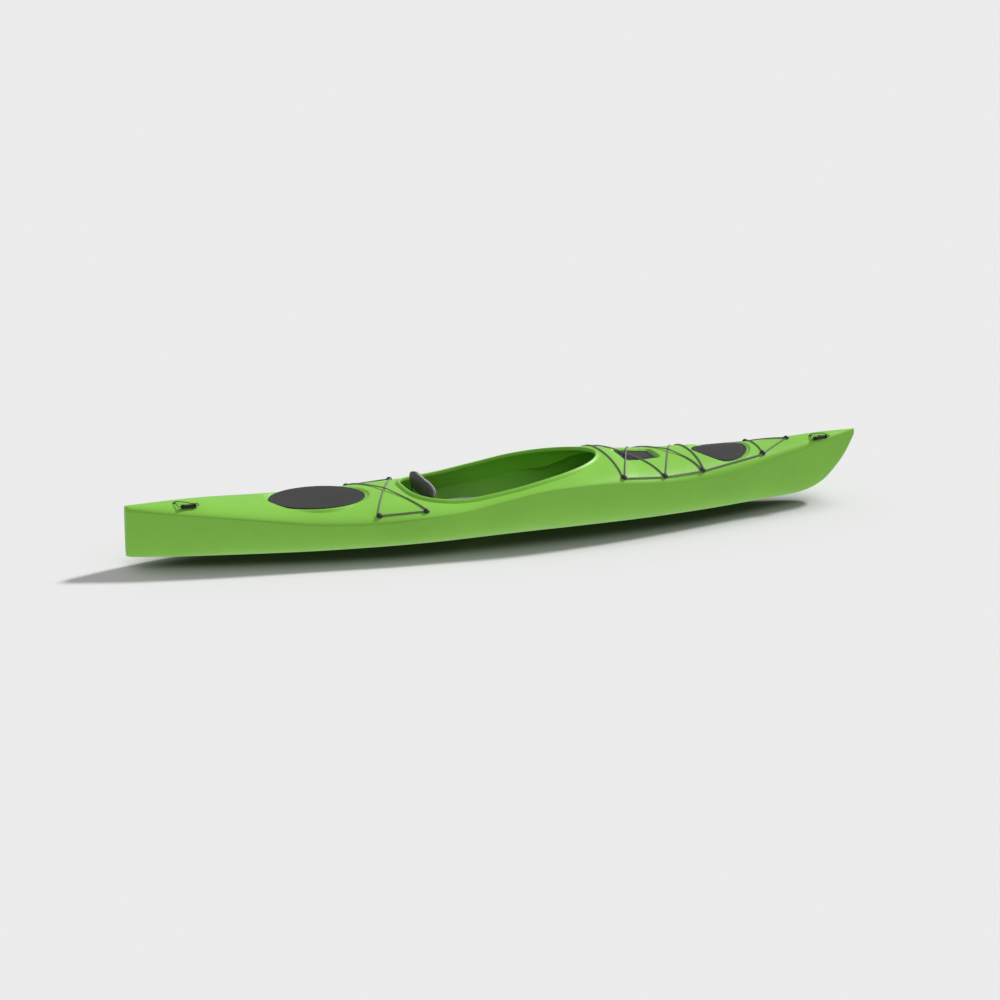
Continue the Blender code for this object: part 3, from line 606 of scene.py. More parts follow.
def give_wall(made, thickness):
    """Solidify inwards, with a thinner wall where the boat is narrow."""
    group = made.vertex_groups.new(name="wall")
    for vertex in made.data.vertices:
        b = float(half_beam(vertex.co.x + HALF))
        group.add([vertex.index], min(1, .3 * b / thickness), "REPLACE")
    step = made.modifiers.new("wall", "SOLIDIFY")
    step.thickness = thickness
    step.offset = -1
    step.vertex_group = "wall"
    apply_all(made)
    made.vertex_groups.clear()


def hull():
    angles = section_angles(44)
    along = stations(.0125, .0125)
    rings = [hull_section(s, angles) for s in along]
    count = len(rings[0])
    faces = ring_faces(len(rings), count, closed=False)
    faces += [tuple(range(count)), tuple(range((len(rings) - 1) * count, len(rings) * count))]
    made = piece("hull", [v for ring in rings for v in ring], faces, DECK_PLASTIC,
                 stands_for="hull_shell", slot="hull", sharp=50)
    give_wall(made, WALL)
    soften(made, 50)


def across(count):
    """Shares of the half beam, closer together towards the sheer."""
    u = np.linspace(-1, 1, count)
    return .45 * u + .55 * np.sin(u * math.pi / 2)


def deck():
    """The deck as a grid, clipped along the cockpit's and the hatches' openings."""
    along, shares = stations(.0115, .0055), across(113)
    s = np.repeat(along[:, None], len(shares), 1)
    y = half_beam(along)[:, None] * shares[None, :]

    def opening(p, q):
        return np.minimum.reduce([
            cockpit_distance(p, q) - .0008, rear_distance(p, q) + REAR_HATCH["rim"],
            front_distance(p, q) + FRONT_HATCH["rim"], day_distance(p, q) + DAY_HATCH["rim"]])

    side = opening(s, y)
    columns = len(shares)
    places = list(zip(s.ravel(), y.ravel()))
    side = side.ravel()
    crossings = {}

    def crossing(a, b):
        key = (min(a, b), max(a, b))
        if key not in crossings:
            out, inside = (a, b) if side[a] > 0 else (b, a)
            low, high = np.array(places[out]), np.array(places[inside])
            for _ in range(18):
                middle = (low + high) / 2
                if opening(*middle) > 0:
                    low = middle
                else:
                    high = middle
            crossings[key] = len(places)
            places.append(tuple(low))
        return crossings[key]

    faces = []
    for i in range(len(along) - 1):
        for j in range(columns - 1):
            corners = (i * columns + j, (i + 1) * columns + j, (i + 1) * columns + j + 1,
                       i * columns + j + 1)
            out = [side[c] > 0 for c in corners]
            if all(out):
                faces.append(corners)
            elif any(out):
                clipped = []
                for k in range(4):
                    if out[k]:
                        clipped.append(corners[k])
                    if out[k] != out[k - 3]:
                        clipped.append(crossing(corners[k], corners[k - 3]))
                faces.append(tuple(clipped))
    faces += [tuple(range(columns)),
              tuple(range((len(along) - 1) * columns, len(along) * columns))]
    where = np.array(places)
    verts = np.column_stack([where[:, 0] - HALF, where[:, 1], deck_height(*where.T)])
    made = piece("deck", verts, faces, DECK_PLASTIC, stands_for="deck_shell", slot="deck",
                 sharp=50)
    edit = bmesh.new()
    edit.from_mesh(made.data)
    bmesh.ops.delete(edit, geom=[v for v in edit.verts if not v.link_faces], context="VERTS")
    bmesh.ops.remove_doubles(edit, verts=edit.verts, dist=2e-5)
    edit.to_mesh(made.data)
    edit.free()
    outward(made)
    give_wall(made, WALL)
    soften(made, 50)


# ---------------------------------------------------------------- outlines, in plan
def superellipse(centre, half_length, half_width, aft_power, fore_power, count):
    a = np.linspace(0, 2 * math.pi, count, endpoint=False)
    power = np.where(np.cos(a) > 0, fore_power, aft_power)
    return list(zip(centre + half_length * signed(np.cos(a), 2 / power),
                    half_width * signed(np.sin(a), 2 / power)))


def even(points, count):
    """The same closed outline with its points evenly spaced."""
    closed = np.array(points + points[:1])
    gone = np.concatenate([[0], np.cumsum(np.hypot(*np.diff(closed, axis=0).T))])
    at = np.linspace(0, gone[-1], count, endpoint=False)
    return list(zip(np.interp(at, gone, closed[:, 0]), np.interp(at, gone, closed[:, 1])))


def cockpit_outline(inset=0.0, count=260):
    c = COCKPIT
    return even(superellipse(c["centre"], c["half_length"] - inset, c["half_width"] - inset,
                             c["aft_power"], c["fore_power"], 1600), count)


def rear_outline(inset=0.0, count=160):
    h = REAR_HATCH
    return superellipse(h["centre"], h["half_length"] - inset, h["half_width"] - inset, 2, 2,
                        count)


def front_outline(inset=0.0, count=128):
    h = FRONT_HATCH
    points = []
    for i in range(count):
        a = 2 * math.pi * i / count
        ahead = math.cos(a) > 0
        reach = h["fore"] - h["widest"] if ahead else h["widest"] - h["aft"]
        points.append((h["widest"] + (reach - inset) * math.cos(a),
                       (h["half_width"] - inset) * signed(math.sin(a),
                                                          1 if ahead else h["point"])))
    return points


def day_outline(inset=0.0):
    h = DAY_HATCH
    fore, aft = h["fore"] - inset, h["aft"] + inset
    fore_half, aft_half = h["fore_half"] - inset, h["aft_half"] - inset
    radius = max(h["corner"] - inset / 3, .005)
    corners = [Vector(c) for c in ((fore, fore_half), (aft, aft_half), (aft, -aft_half),
                                   (fore, -fore_half))]
    points = []
    for i, here in enumerate(corners):
        before = (corners[i - 1] - here).normalized()
        after = (corners[(i + 1) % 4] - here).normalized()
        for k in range(9):
            t = k / 8
            start, end = here + before * radius, here + after * radius
            points.append(tuple(start * (1 - t) ** 2 + here * 2 * t * (1 - t) + end * t ** 2))
        for k in range(1, 8):
            start = here + after * radius
            far = corners[(i + 1) % 4]
            stop = far - after * radius
            points.append(tuple(start.lerp(stop, k / 8)))
    return points


# ---------------------------------------------------------------- coaming, rims and covers
def coaming():
    """Raised lip round the cockpit whose inner wall runs on down to the hull's sides."""
    lip = [(.0172, -.0012), (.0172, .0004), (.0150, .0030), (.0125, .0062), (.0095, .0094),
           (.0062, .0120), (.0028, .0134), (-.0004, .0134), (-.0030, .0120), (-.0044, .0095),
           (-.0050, .0050), (-.0050, -.0020)]
    under = [(.0006, -.0060), (.0004, .0006), (.0020, .0012), (.0165, .0002)]
    edge, flare, skin = cockpit_outline(), .085, .0030
    lines = {out: cockpit_outline(-out) for out, _ in lip + under}
    widened = cockpit_outline(-flare)
    rings = []
    for i, (s, y) in enumerate(edge):
        base = float(deck_height(s, y))
        drop = .105 - .075 * float(smooth((s - 2.12) / .20))
        ring = []
        for out, up in lip:
            p, q = lines[out][i]
            z = float(deck_height(p, q)) if out > .004 else base
            ring.append(Vector((p - HALF, q, z + up)))
        foot_s, foot_y = widened[i]
        low = base - drop
        depth = float(sheer(foot_s) - keel(foot_s))
        share = min(max((float(sheer(foot_s)) - low) / depth, 0), 1)
        angle = math.acos(min(share ** (HULL_POWER / 2), 1))
        side = (float(half_beam(foot_s)) - WALL - .0015) * math.sin(angle) ** (2 / HULL_POWER)
        foot = Vector((foot_s - HALF, float(np.clip(foot_y, -side, side)), low))
        start = ring[-1]
        knee = Vector((foot.x, foot.y, start.z)).lerp(Vector((start.x, start.y, foot.z)), .22)
        inner = [start * (1 - t) ** 2 + knee * 2 * t * (1 - t) + foot * t * t
                 for t in (k / 10 for k in range(1, 11))]
        outward_dir = Vector((foot.x - start.x, foot.y - start.y, 0)).normalized()
        ring += inner
        ring += [inner[k] + outward_dir * skin * (1 - .09 * k) + Vector((0, 0, .001))
                 for k in range(8, -1, -1)]
        for out, up in under:
            p, q = lines[out][i]
            z = float(deck_height(p, q)) if out > .004 else base
            ring.append(Vector((p - HALF, q, z + up)))
        rings.append(ring)
    count = len(rings[0])
    piece("cockpit_coaming", [v for ring in rings for v in ring],
          ring_faces(len(rings), count, wrap=True), DECK_PLASTIC, stands_for="coaming",
          slot="deck", sharp=60)


def swept(name, outline, profile, materials, **kept):
    """A closed section carried round an outline; the section is (distance out, height)."""
    lines = [outline(-out) for out, _ in profile]
    edge = outline(0)
    rings = []
    for i in range(len(edge)):
        ring = []
        for line, (out, up) in zip(lines, profile):
            s, y = line[i]
            ring.append((s - HALF, y,
                         float(deck_height(*(line[i] if out > 0 else edge[i]))) + up))
        rings.append(ring)
    return piece(name, [v for ring in rings for v in ring],
                 ring_faces(len(rings), len(profile), wrap=True), materials, **kept)


def hatch_rim(name, outline, inset):
    profile = [(-.0035, -.014), (-.0035, .0018), (-.0027, .0026), (.0080, .0026), (.009, .0018),
               (.009, .0007), (-.0005, .0007), (-.0005, -.014)]
    swept(f"{name}_collar", lambda more: outline(inset + more), profile, BLACK_PLASTIC,
          stands_for=f"{name}_rim", slot="hatch_rim")


def stacked(name, outline, rings, surface, centre, materials, edge_material=None, **kept):
    """Copies of an outline joined one to the next and closed by a fan at both ends.

    rings holds (distance in from the outline, height over the surface). A distance of None is
    the centre, and one over 1 shrinks the outline that many times about the centre.
    """
    edge = outline(0)
    count = len(edge)
    verts, starts = [], []
    for inset, up in rings:
        starts.append(len(verts))
        if inset is None:
            verts.append((centre - HALF, 0, float(surface(centre, 0)) + up))
            continue
        line = outline(inset) if inset < 1 else [(centre + (s - centre) / inset, y / inset)
                                                 for s, y in edge]
        verts += [(s - HALF, y, float(surface(s, y)) + up) for s, y in line]
    faces, marks = [], []
    for k in range(len(rings) - 1):
        a, b = starts[k], starts[k + 1]
        under = rings[k][1] < COVER_THICK * .45
        for i in range(count):
            j = (i + 1) % count
            if rings[k][0] is None:
                faces.append((a, b + i, b + j))
            elif rings[k + 1][0] is None:
                faces.append((a + i, a + j, b))
            else:
                faces.append((a + i, a + j, b + j, b + i))
            marks.append(1 if under and edge_material else 0)
    made = piece(name, verts, faces, [materials] + ([edge_material] if edge_material else []),
                 **kept)
    for face, mark in zip(made.data.polygons, marks):
        face.material_index = mark
    return made


def cover_rings():
    """A flat plate with a moulded line inside its edge, a rounded rim and a gasket below, made
    near-black as painted shade for the gap under the cover.
    """
    t = COVER_THICK
    return [(None, t), (6, t), (3, t), (2, t), (1.5, t), (1.25, t), (.024, t), (.0205, t),
            (.0195, t - .0005), (.0170, t - .0005), (.0160, t), (.006, t), (.0032, t - .0001),
            (.0014, t - .0006), (.0004, t - .0015), (0, t - .0028), (0, t * .44),
            (.0009, t * .40), (.0011, .0012), (.005, .0012), (.007, .0036), (2, .0036),
            (None, .0036)]


def hatches():
    plans = {"rear_hatch": (rear_outline, rear_seat, REAR_HATCH["centre"], REAR_HATCH["rim"]),
             "front_hatch": (front_outline, front_seat, FRONT_HATCH["widest"],
                             FRONT_HATCH["rim"]),
             "day_hatch": (day_outline, day_seat, (DAY_HATCH["aft"] + DAY_HATCH["fore"]) / 2,
                           DAY_HATCH["rim"])}
    for name, (outline, seat, centre, inset) in plans.items():
        hatch_rim(name, outline, inset)
        # Each lid's lower band takes the gasket, made near-black as painted shade for the gap
        # beneath it.
        stacked(f"{name}_lid", outline, cover_rings(), seat, centre, HATCH_RUBBER, GASKET_SHADE,
                body=name, stands_for=f"{name}_cover", slot="hatch_cover")
    tub = [(None, -.100), (3, -.100), (.037, -.100), (.036, -.098), (.0350, -.092),
           (.0275, -.020), (.0275, -.016), (.0295, -.016), (.0295, -.020), (.037, -.090),
           (.038, -.096), (.040, -.098), (3, -.098), (None, -.098)]
    stacked("day_pod", day_outline, tub, day_seat, plans["day_hatch"][2], BLACK_PLASTIC,
            stands_for="day_hatch_pod", slot="hatch_rim")


def bulkheads():
    angles = section_angles(26)
    for name, ends in (("rear_bulkhead", (1.295, 1.325)), ("front_bulkhead", (2.80, 2.83))):
        rings = []
        clear = WALL + .0012
        for s, inset in ((ends[0], clear + .003), (ends[0] + .003, clear),
                         (ends[1] - .003, clear), (ends[1], clear + .003)):
            under = hull_section(s, angles, inset)
            shares = across(41)[::-1][1:-1]
            y = shares[::-1] * (float(half_beam(s)) - inset)
            z = deck_height(s, y * half_beam(s) / (half_beam(s) - inset)) - inset
            top = np.maximum(z, float(sheer(s)) + .0005)
            rings.append(under + [(s - HALF, float(a), float(b)) for a, b in zip(y, top)])
        lofted(f"{name}_foam", rings, FOAM, stands_for=name, slot="foam")


# ---------------------------------------------------------------- deck cords and fittings
def highest(s, y):
    """What a cord lies on: the deck, or the day hatch's cover where that is higher."""
    deck_z = float(deck_height(s, y))
    if day_distance(s, y) < .006:
        return max(deck_z, float(day_seat(s, y)) + COVER_THICK)
    return deck_z


def over(s, y, lift):
    return Vector((s - HALF, y, highest(s, y) + lift / deck_normal(s, y).z))


def crossing_share(a, b, c, d):
    """The share of the way from a to b at which the line from c to d crosses it."""
    run, other, gap = Vector(b) - Vector(a), Vector(d) - Vector(c), Vector(c) - Vector(a)
    return gap.cross(other) / run.cross(other)


def taut(start, end, lift, spacing, hump=None):
    """Points from start to end, pulled tight over the deck; a hump is (share, extra height)."""
    length = math.dist(start, end)
    count = max(4, round(length / spacing))
    sample = []
    for i in range(161):
        t = i / 160
        s, y = start[0] + (end[0] - start[0]) * t, start[1] + (end[1] - start[1]) * t
        z = over(s, y, lift).z
        if hump:
            away = abs(t - hump[0]) * length
            z += hump[1] * float(np.exp(-(away / BUMP_REACH) ** 2)) if away < .06 else 0
        sample.append((t, z))
    upper = []
    for point in sample:
        while len(upper) > 1 and ((upper[-1][0] - upper[-2][0]) * (point[1] - upper[-2][1])
                                  - (upper[-1][1] - upper[-2][1]) * (point[0] - upper[-2][0])
                                  ) > 0:
            upper.pop()
        upper.append(point)
    ts, zs = [p[0] for p in upper], [p[1] for p in upper]
    return [Vector((start[0] + (end[0] - start[0]) * i / count - HALF,
                    start[1] + (end[1] - start[1]) * i / count,
                    float(np.interp(i / count, ts, zs)))) for i in range(count + 1)]


def laced(route, lift, spacing, humps):
    """A closed lacing that hooks round each place; returns its path and each leg's start."""
    count = len(route)
    hooks = []
    for i, here in enumerate(route):
        back = Vector(here) - Vector(route[i - 1])
        ahead = Vector(route[(i + 1) % count]) - Vector(here)
        side = 1 if back.x * ahead.y - back.y * ahead.x > 0 else -1
        came, goes = math.atan2(back.y, back.x), math.atan2(ahead.y, ahead.x)
        a0 = came - side * math.pi / 2
        turn = (goes - came) * side % (2 * math.pi)
        hooks.append((here, a0, side, turn))

    def arc(hook, first, last):
        here, a0, side, turn = hook
        steps = max(3, math.ceil(abs(last - first) * turn / math.radians(16)))
        angles = [a0 + side * turn * (first + (last - first) * k / steps)
                  for k in range(steps + 1)]
        return [(here[0] + HOOK_R * math.cos(a), here[1] + HOOK_R * math.sin(a))
                for a in angles]

    half_gap = math.radians(7) / hooks[0][3]
    path = [over(*p, lift) for p in arc(hooks[0], .5 + half_gap, 1)]
    legs = []
    for i in range(count):
        last = i == count - 1
        bend = arc(hooks[(i + 1) % count], 0, .5 - half_gap if last else 1)
        leave = path[-1]
        run = taut((leave.x + HALF, leave.y), bend[0], lift, spacing, humps[i])
        legs.append((len(path) - 1, len(path) - 1 + len(run) - 1))
        path += run[1:-1] + [over(*p, lift) for p in bend]
    return path, legs


def eased(points, rounds=1):
    """The path with each inner point drawn a little towards its neighbours."""
    for _ in range(rounds):
        points = [points[0]] + [points[i - 1] * .25 + points[i] * .5 + points[i + 1] * .25
                                for i in range(1, len(points) - 1)] + [points[-1]]
    return points


def tube_rings(points, radius, sides):
    """Rings round a path, carried along it without twisting."""
    rings, gone = [], [0.0]
    ahead = (points[1] - points[0]).normalized()
    side = ahead.cross(Vector((0, 0, 1)))
    side = (side if side.length > 1e-4 else Vector((1, 0, 0))).normalized()
    for i, point in enumerate(points):
        before, after = points[max(i - 1, 0)], points[min(i + 1, len(points) - 1)]
        along = (after - before).normalized()
        side = (side - along * side.dot(along)).normalized()
        up = along.cross(side)
        rings.append([point + (side * math.cos(2 * math.pi * k / sides)
                               + up * math.sin(2 * math.pi * k / sides)) * radius
                      for k in range(sides)])
        if i:
            gone.append(gone[-1] + (point - points[i - 1]).length)
    return rings, gone


def cord_piece(name, rings, gone, radius, materials, capped=True, **kept):
    """A stretch of cord as a mesh, with its length and turn as texture coordinates."""
    sides = len(rings[0])
    faces = ring_faces(len(rings), sides)
    if capped:
        faces += [tuple(range(sides)),
                  tuple(range((len(rings) - 1) * sides, len(rings) * sides))]
    made = piece(name, [v for ring in rings for v in ring], faces, materials, sharp=75, **kept)
    layer = made.data.uv_layers.new(name="UVMap")
    width = 2 * math.pi * radius
    for face in made.data.polygons:
        turns = [made.data.loops[k].vertex_index % sides for k in face.loop_indices]
        wraps = max(turns) - min(turns) > sides / 2
        for k, turn in zip(face.loop_indices, turns):
            share = (turn + (sides if wraps and turn < sides / 2 else 0)) / sides
            row = made.data.loops[k].vertex_index // sides
            layer.data[k].uv = (gone[row], share * width)
    return made


def cord_paths():
    """Every deck cord: its path, diameter, legs and the fittings it passes under."""
    place = {}
    for name, (s, y) in FITTINGS.items():
        place[f"{name}_port"] = (s, y - HOOK_IN)
        place[f"{name}_starboard"] = (s, -y + HOOK_IN)
    bungee_lift = BUNGEE_D / 2 + CORD_LIFT
    line_lift = LINE_D / 2 + CORD_LIFT
    hump = BUNGEE_D + .0005
    rear_names = ["rear_aft_starboard", "rear_fore_port",
                  "rear_aft_port", "rear_fore_starboard"]
    front_names = ["front_aft_starboard", "front_aft_port", "front_mid_starboard",
                   "front_fore_port", "front_fore_starboard", "front_mid_port"]
    rear_route, front_route = ([place[n] for n in names] for names in (rear_names, front_names))
    rear_humps, front_humps = [None] * 4, [None] * 6
    for route, humps, lower, upper in ((rear_route, rear_humps, 0, 2),
                                       (front_route, front_humps, 2, 4),
                                       (front_route, front_humps, 1, 5)):
        ends = [route[upper], route[(upper + 1) % len(route)], route[lower], route[lower + 1]]
        humps[upper] = (crossing_share(*ends), hump)
    cords = []
    for name, route, humps, under in (("rear_bungee", rear_route, rear_humps, rear_names),
                                      ("front_bungee", front_route, front_humps, front_names)):
        path, legs = laced(route, bungee_lift, .010, humps)
        cords.append((name, eased(path, 2), BUNGEE_D, legs, under))
    ends = place["bow_starboard"], place["bow_port"]
    cords.append(("bow_cord", taut(*ends, line_lift, .008), LINE_D, [],
                  ["bow_starboard", "bow_port"]))
    for side, sign in (("port", 1), ("starboard", -1)):
        names = [f"{n}_{side}" for n in ("front_aft", "front_mid", "front_fore", "bow")]
        outer = [(s, sign * (y + LINE_OUT * deck_normal(s, y).z))
                 for s, y in (FITTINGS[n] for n in ("front_aft", "front_mid", "front_fore",
                                                    "bow"))]
        outer[0] = (outer[0][0] + .002, outer[0][1])
        path = []
        for start, end in zip(outer, outer[1:] + [(TIP_FITTING - .002, sign * .0055)]):
            path += taut(start, end, line_lift, .012)[0 if not path else 1:]
        cords.append((f"deck_line_{side}", eased(path, 2), LINE_D, [], names + ["tip"]))
    return cords


def draw_cords(cords):
    """The cords; the two legs over the day hatch are split at their middles into pieces that
    ride on no body.
    """
    sides = 14
    for name, path, diameter, legs, _ in cords:
        rings, gone = tube_rings(path, diameter / 2, sides)
        braid = BUNGEE_BRAID if "bungee" in name else LINE_BRAID
        slot = "bungee" if "bungee" in name else "deck_line"
        if name != "front_bungee":
            cord_piece(f"{name}_cord", rings, gone, diameter / 2, braid, stands_for=name,
                       slot=slot)
            continue
        lifted = [1, 5]
        stops = [0]
        for i in lifted:
            first, last = legs[i]
            stops += [first, (first + last) // 2, last]
        stops.append(len(path) - 1)
        for k, (a, b) in enumerate(zip(stops, stops[1:])):
            if b <= a:
                continue
            held = k % 3 == 0
            made = cord_piece(f"{name}_run_{k}", rings[a:b + 1],
                              [g - gone[a] for g in gone[a:b + 1]], diameter / 2, braid,
                              capped=held, body="root" if held else None, slot=slot)
            if k == 0:
                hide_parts(name)
            if held:
                continue
            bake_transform(made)


def fittings(cords):
    """Round deck eyes with a screw, each with a channel for every cord under it."""
    h = FITTING_H
    dome = [(.0010, h - .0016), (.0030, h - .0016), (.0034, h - .0009), (.0038, h),
            (.0055, h - .0003), (.0080, h - .0012), (.0104, h - .0028), (.0124, h - .0049),
            (.0138, h - .0074), (.0146, h - .0098), (.0146, .0016), (.0150, .0012), (.0150, 0)]
    places = {"tip": (TIP_FITTING, 0)}
    for name, (s, y) in FITTINGS.items():
        places[f"{name}_port"] = (s, y)
        places[f"{name}_starboard"] = (s, -y)
    made = {}
    for name, (s, y) in places.items():
        made[name] = turned(f"eye_{name}", dome, 48, on_deck(s, y, .0004), deck_normal(s, y),
                            FITTING_NYLON, stands_for=f"fitting_{name}", slot="fitting")
        for face in made[name].data.polygons:
            face.use_smooth = True
    for name, path, diameter, _, under in cords:
        for fitting in under:
            at = on_deck(*places[fitting], .004)
            near = [i for i, p in enumerate(path) if (p - at).length < .034]
            if not near:
                continue
            groups, run = [], [near[0]]
            for i in near[1:]:
                if i - run[-1] > 3:
                    groups.append(run)
                    run = []
                run.append(i)
            groups.append(run)
            for group in groups:
                stretch = path[max(group[0] - 1, 0):group[-1] + 2]
                rings, gone = tube_rings(stretch, (diameter + CHANNEL_CLEAR) / 2, 12)
                cut(made[fitting], cord_piece("channel", rings, gone, diameter / 2,
                                              FITTING_NYLON, body=None))
    for name, (s, y) in places.items():
        soften(made[name], 32)
        normal = deck_normal(s, y)
        head = [(.0008, .0009), (.0016, .0009), (.0024, .0006), (.0028, 0)]
        turned(f"screw_{name}", head, 20, on_deck(s, y, .0004) + normal * (h - .0016), normal,
               SCREW_STEEL)


# ---------------------------------------------------------------- carry toggles
def rounded(route, steps):
    """A smooth curve through the route's points."""
    points = []
    for i in range(len(route) - 1):
        a, b = route[max(i - 1, 0)], route[i]
        c, d = route[i + 1], route[min(i + 2, len(route) - 1)]
        for k in range(steps):
            t = k / steps
            points.append(.5 * ((2 * b) + (c - a) * t + (2 * a - 5 * b + 4 * c - d) * t * t
                                + (3 * b - a - 3 * c + d) * t ** 3))
    return points + [route[-1].copy()]


def toggle(name, body, anchor, bar, tilt):
    """A ribbed grip with a finger tab, on a rope loop from an eyelet in the deck."""
    eye, up = on_deck(*anchor, .0004), deck_normal(*anchor)
    turned(f"{name}_grommet", [(.0030, .0006), (.0036, .0018), (.0050, .0023), (.0070, .0021),
                               (.0086, .0014), (.0095, .0007), (.0095, 0)], 40, eye, up,
           FITTING_NYLON, stands_for=f"{name}_eyelet", slot="fitting")
    centre = Vector((bar[0] - HALF, bar[1], bar[2]))
    slope = Vector((math.cos(math.radians(tilt)), 0, math.sin(math.radians(tilt))))
    half, r = TOGGLE_LENGTH / 2, TOGGLE_D / 2
    outside = [(r * .62, half), (r * .86, half - .0008), (r, half - .0026), (r, half - .0066)]
    for k in range(2):
        z = half - .0078 - k * .0034
        outside += [(r * .78, z), (r * .78, z - .0012),
                    (r * .96, z - .0020), (r * .96, z - .0028)]
    outside += [(r * .88, half * .42), (r * .90, 0)]
    outside += [(radius, -z) for radius, z in outside[:-1][::-1]]
    grip = turned(f"{name}_grip", outside, 36, centre, slope, GRIP_RUBBER, body=body,
                  stands_for=name, slot="toggle")
    rise = math.atan2(float(deck_height(bar[0], bar[1] + .022)) + .009 - bar[2], .022)
    away = Vector((0, math.cos(rise), math.sin(rise)))
    thick = slope.cross(away).normalized()
    rings = []
    for reach, width, height in ((.003, .0115, .0046), (.007, .0105, .0046),
                                 (.011, .0088, .0044), (.0145, .0070, .0040),
                                 (.0168, .0052, .0030), (.0176, .0034, .0018)):
        rings.append([centre + away * reach
                      + slope * (width * signed(math.cos(a), .7))
                      + thick * (height * signed(math.sin(a), .7))
                      for a in (2 * math.pi * i / 28 for i in range(28))])
    cut(grip, lofted(f"{name}_tab", rings, GRIP_RUBBER, body=None), "UNION")
    top = eye + up * (.0047 + ROPE_D / 2)
    aft, fore = centre - slope * (half + .009), centre + slope * (half + .010)
    inner = on_deck(bar[0] + .030, bar[1] + .032, .007)
    route = [top + Vector((0, -.0035, 0)), aft.lerp(top, .5) + Vector((-.004, 0, .002)),
             aft.lerp(top, .15) + Vector((-.002, 0, 0)), aft,
             centre - slope * half * .6, centre, centre + slope * half * .6,
             fore, fore + Vector((.004, .010, .002)), fore + Vector((-.003, .020, .004)),
             inner, top.lerp(inner, .5) + Vector((0, 0, .003)), top + Vector((.003, .0035, 0))]
    rings, gone = tube_rings(rounded(route, 4), (ROPE_D + .0008) / 2, 14)
    cut(grip, cord_piece(f"{name}_bore", rings, gone, ROPE_D / 2, GRIP_RUBBER, body=None))
    soften(grip, 34)
    rings, gone = tube_rings(rounded(route, 7), ROPE_D / 2, 14)
    cord_piece(f"{name}_loop", rings, gone, ROPE_D / 2, ROPE_BRAID, body=body,
               stands_for=f"{name}_rope", slot="rope")


# ---------------------------------------------------------------- seat, backrest and braces
def chaikin(points, rounds=2):
    """A closed polygon with its corners cut."""
    for _ in range(rounds):
        points = [p.lerp(q, t) for p, q in zip(points, points[1:] + points[:1])
                  for t in (.25, .75)]
    return points


def through_stations(rows, step):
    """Rows of (station, values...) filled in smoothly every step."""
    curves = [curve_through([(row[0], row[i]) for row in rows]) for i in range(1, len(rows[0]))]
    at = np.arange(rows[0][0], rows[-1][0] + step / 2, step)
    return [(s, *(float(c(s)) for c in curves)) for s in at]


def seat():
    rings = []
    for s, under, floor, wing in through_stations([
            (1.455, .0145, .026, .078), (1.50, .0125, .024, .090), (1.62, .0125, .022, .090),
            (1.76, .0125, .030, .086), (1.86, .0140, .052, .074)], .012):
        x = s - HALF
        half = [(.150, under), (.200, under + .010), (.224, .052), (.2315, wing - .006),
                (.2315, wing), (.222, wing), (.221, wing - .006), (.212, .056),
                (.180, floor + .006), (.100, floor)]
        full = half + [(-y, z) for y, z in half[::-1]]
        rings.append(chaikin([Vector((x, y, z)) for y, z in full]))
    lofted("seat_shell", rings, BLACK_PLASTIC, stands_for="seat_pan", slot="seat_plastic")
    x, z = PIVOT[0] - HALF, PIVOT[1]
    for side, sign in (("port", 1), ("starboard", -1)):
        plate = []
        for y, inset in ((.146, .0008), (.1468, 0), (.1532, 0), (.154, .0008)):
            ring = []
            for k in range(25):
                a = math.pi * k / 24
                ring.append((x + (.014 - inset) * math.cos(a), sign * y,
                             z + (.014 - inset) * math.sin(a)))
            ring += [(x - .014 + inset, sign * y, .030), (x + .014 - inset, sign * y, .030)]
            plate.append(ring)
        ear = lofted(f"seat_ear_{side}", plate, BLACK_PLASTIC, slot="seat_plastic")
        cut(ear, turned("hole", [(.0045, .03), (.0045, -.03)], 32, (x, sign * .150, z),
                        (0, sign, 0), BLACK_PLASTIC, body=None))
        soften(ear, 38)
        turned(f"pivot_pin_{side}",
               [(.0040, .0168), (.0060, .0162), (.0068, .0148), (.0068, .0115), (.004, .0115),
                (.004, -.0115), (.0034, -.012)], 40, (x, sign * .1445, z), (0, sign, 0),
               PIN_STEEL, stands_for=f"backrest_pin_{side}", slot="steel")


def inflate(made, pressure, cap, voxel):
    """Puff a closed mesh up as stuffed cloth, no point further than the cap."""
    step = made.modifiers.new("even mesh", "REMESH")
    step.mode = "VOXEL"
    step.voxel_size = voxel
    apply_all(made)
    rest = np.array([v.co for v in made.data.vertices])
    cloth = made.modifiers.new("cloth", "CLOTH")
    cloth.settings.use_pressure = True
    cloth.settings.uniform_pressure_force = pressure
    cloth.settings.effector_weights.gravity = 0
    cloth.settings.quality = 5
    scene = bpy.context.scene
    for number in range(1, 21):
        scene.frame_set(number)
    apply_all(made)
    scene.frame_set(1)
    puffed = np.array([v.co for v in made.data.vertices])
    move = puffed - rest
    size = np.linalg.norm(move, axis=1)
    move *= (np.minimum(size, cap) / np.maximum(size, 1e-9))[:, None]
    made.data.vertices.foreach_set("co", (rest + move).astype(np.float32).ravel())
    made.data.update()


def relax(made, rounds):
    """Even out the remesh's steps."""
    step = made.modifiers.new("relax", "SMOOTH")
    step.factor = .5
    step.iterations = rounds
    apply_all(made)


def sewn(made, distance, depth, width):
    """Draw the surface in along a seam; distance says how far each point is from it."""
    mesh = made.data
    points = np.array([v.co for v in mesh.vertices])
    normals = np.array([v.normal for v in mesh.vertices])
    pull = depth * np.exp(-(distance(points) / width) ** 2)
    points = points - normals * pull[:, None]
    mesh.vertices.foreach_set("co", points.astype(np.float32).ravel())
    mesh.update()


def refine(made):
    step = made.modifiers.new("finer", "SUBSURF")
    step.levels = step.render_levels = 1
    apply_all(made)


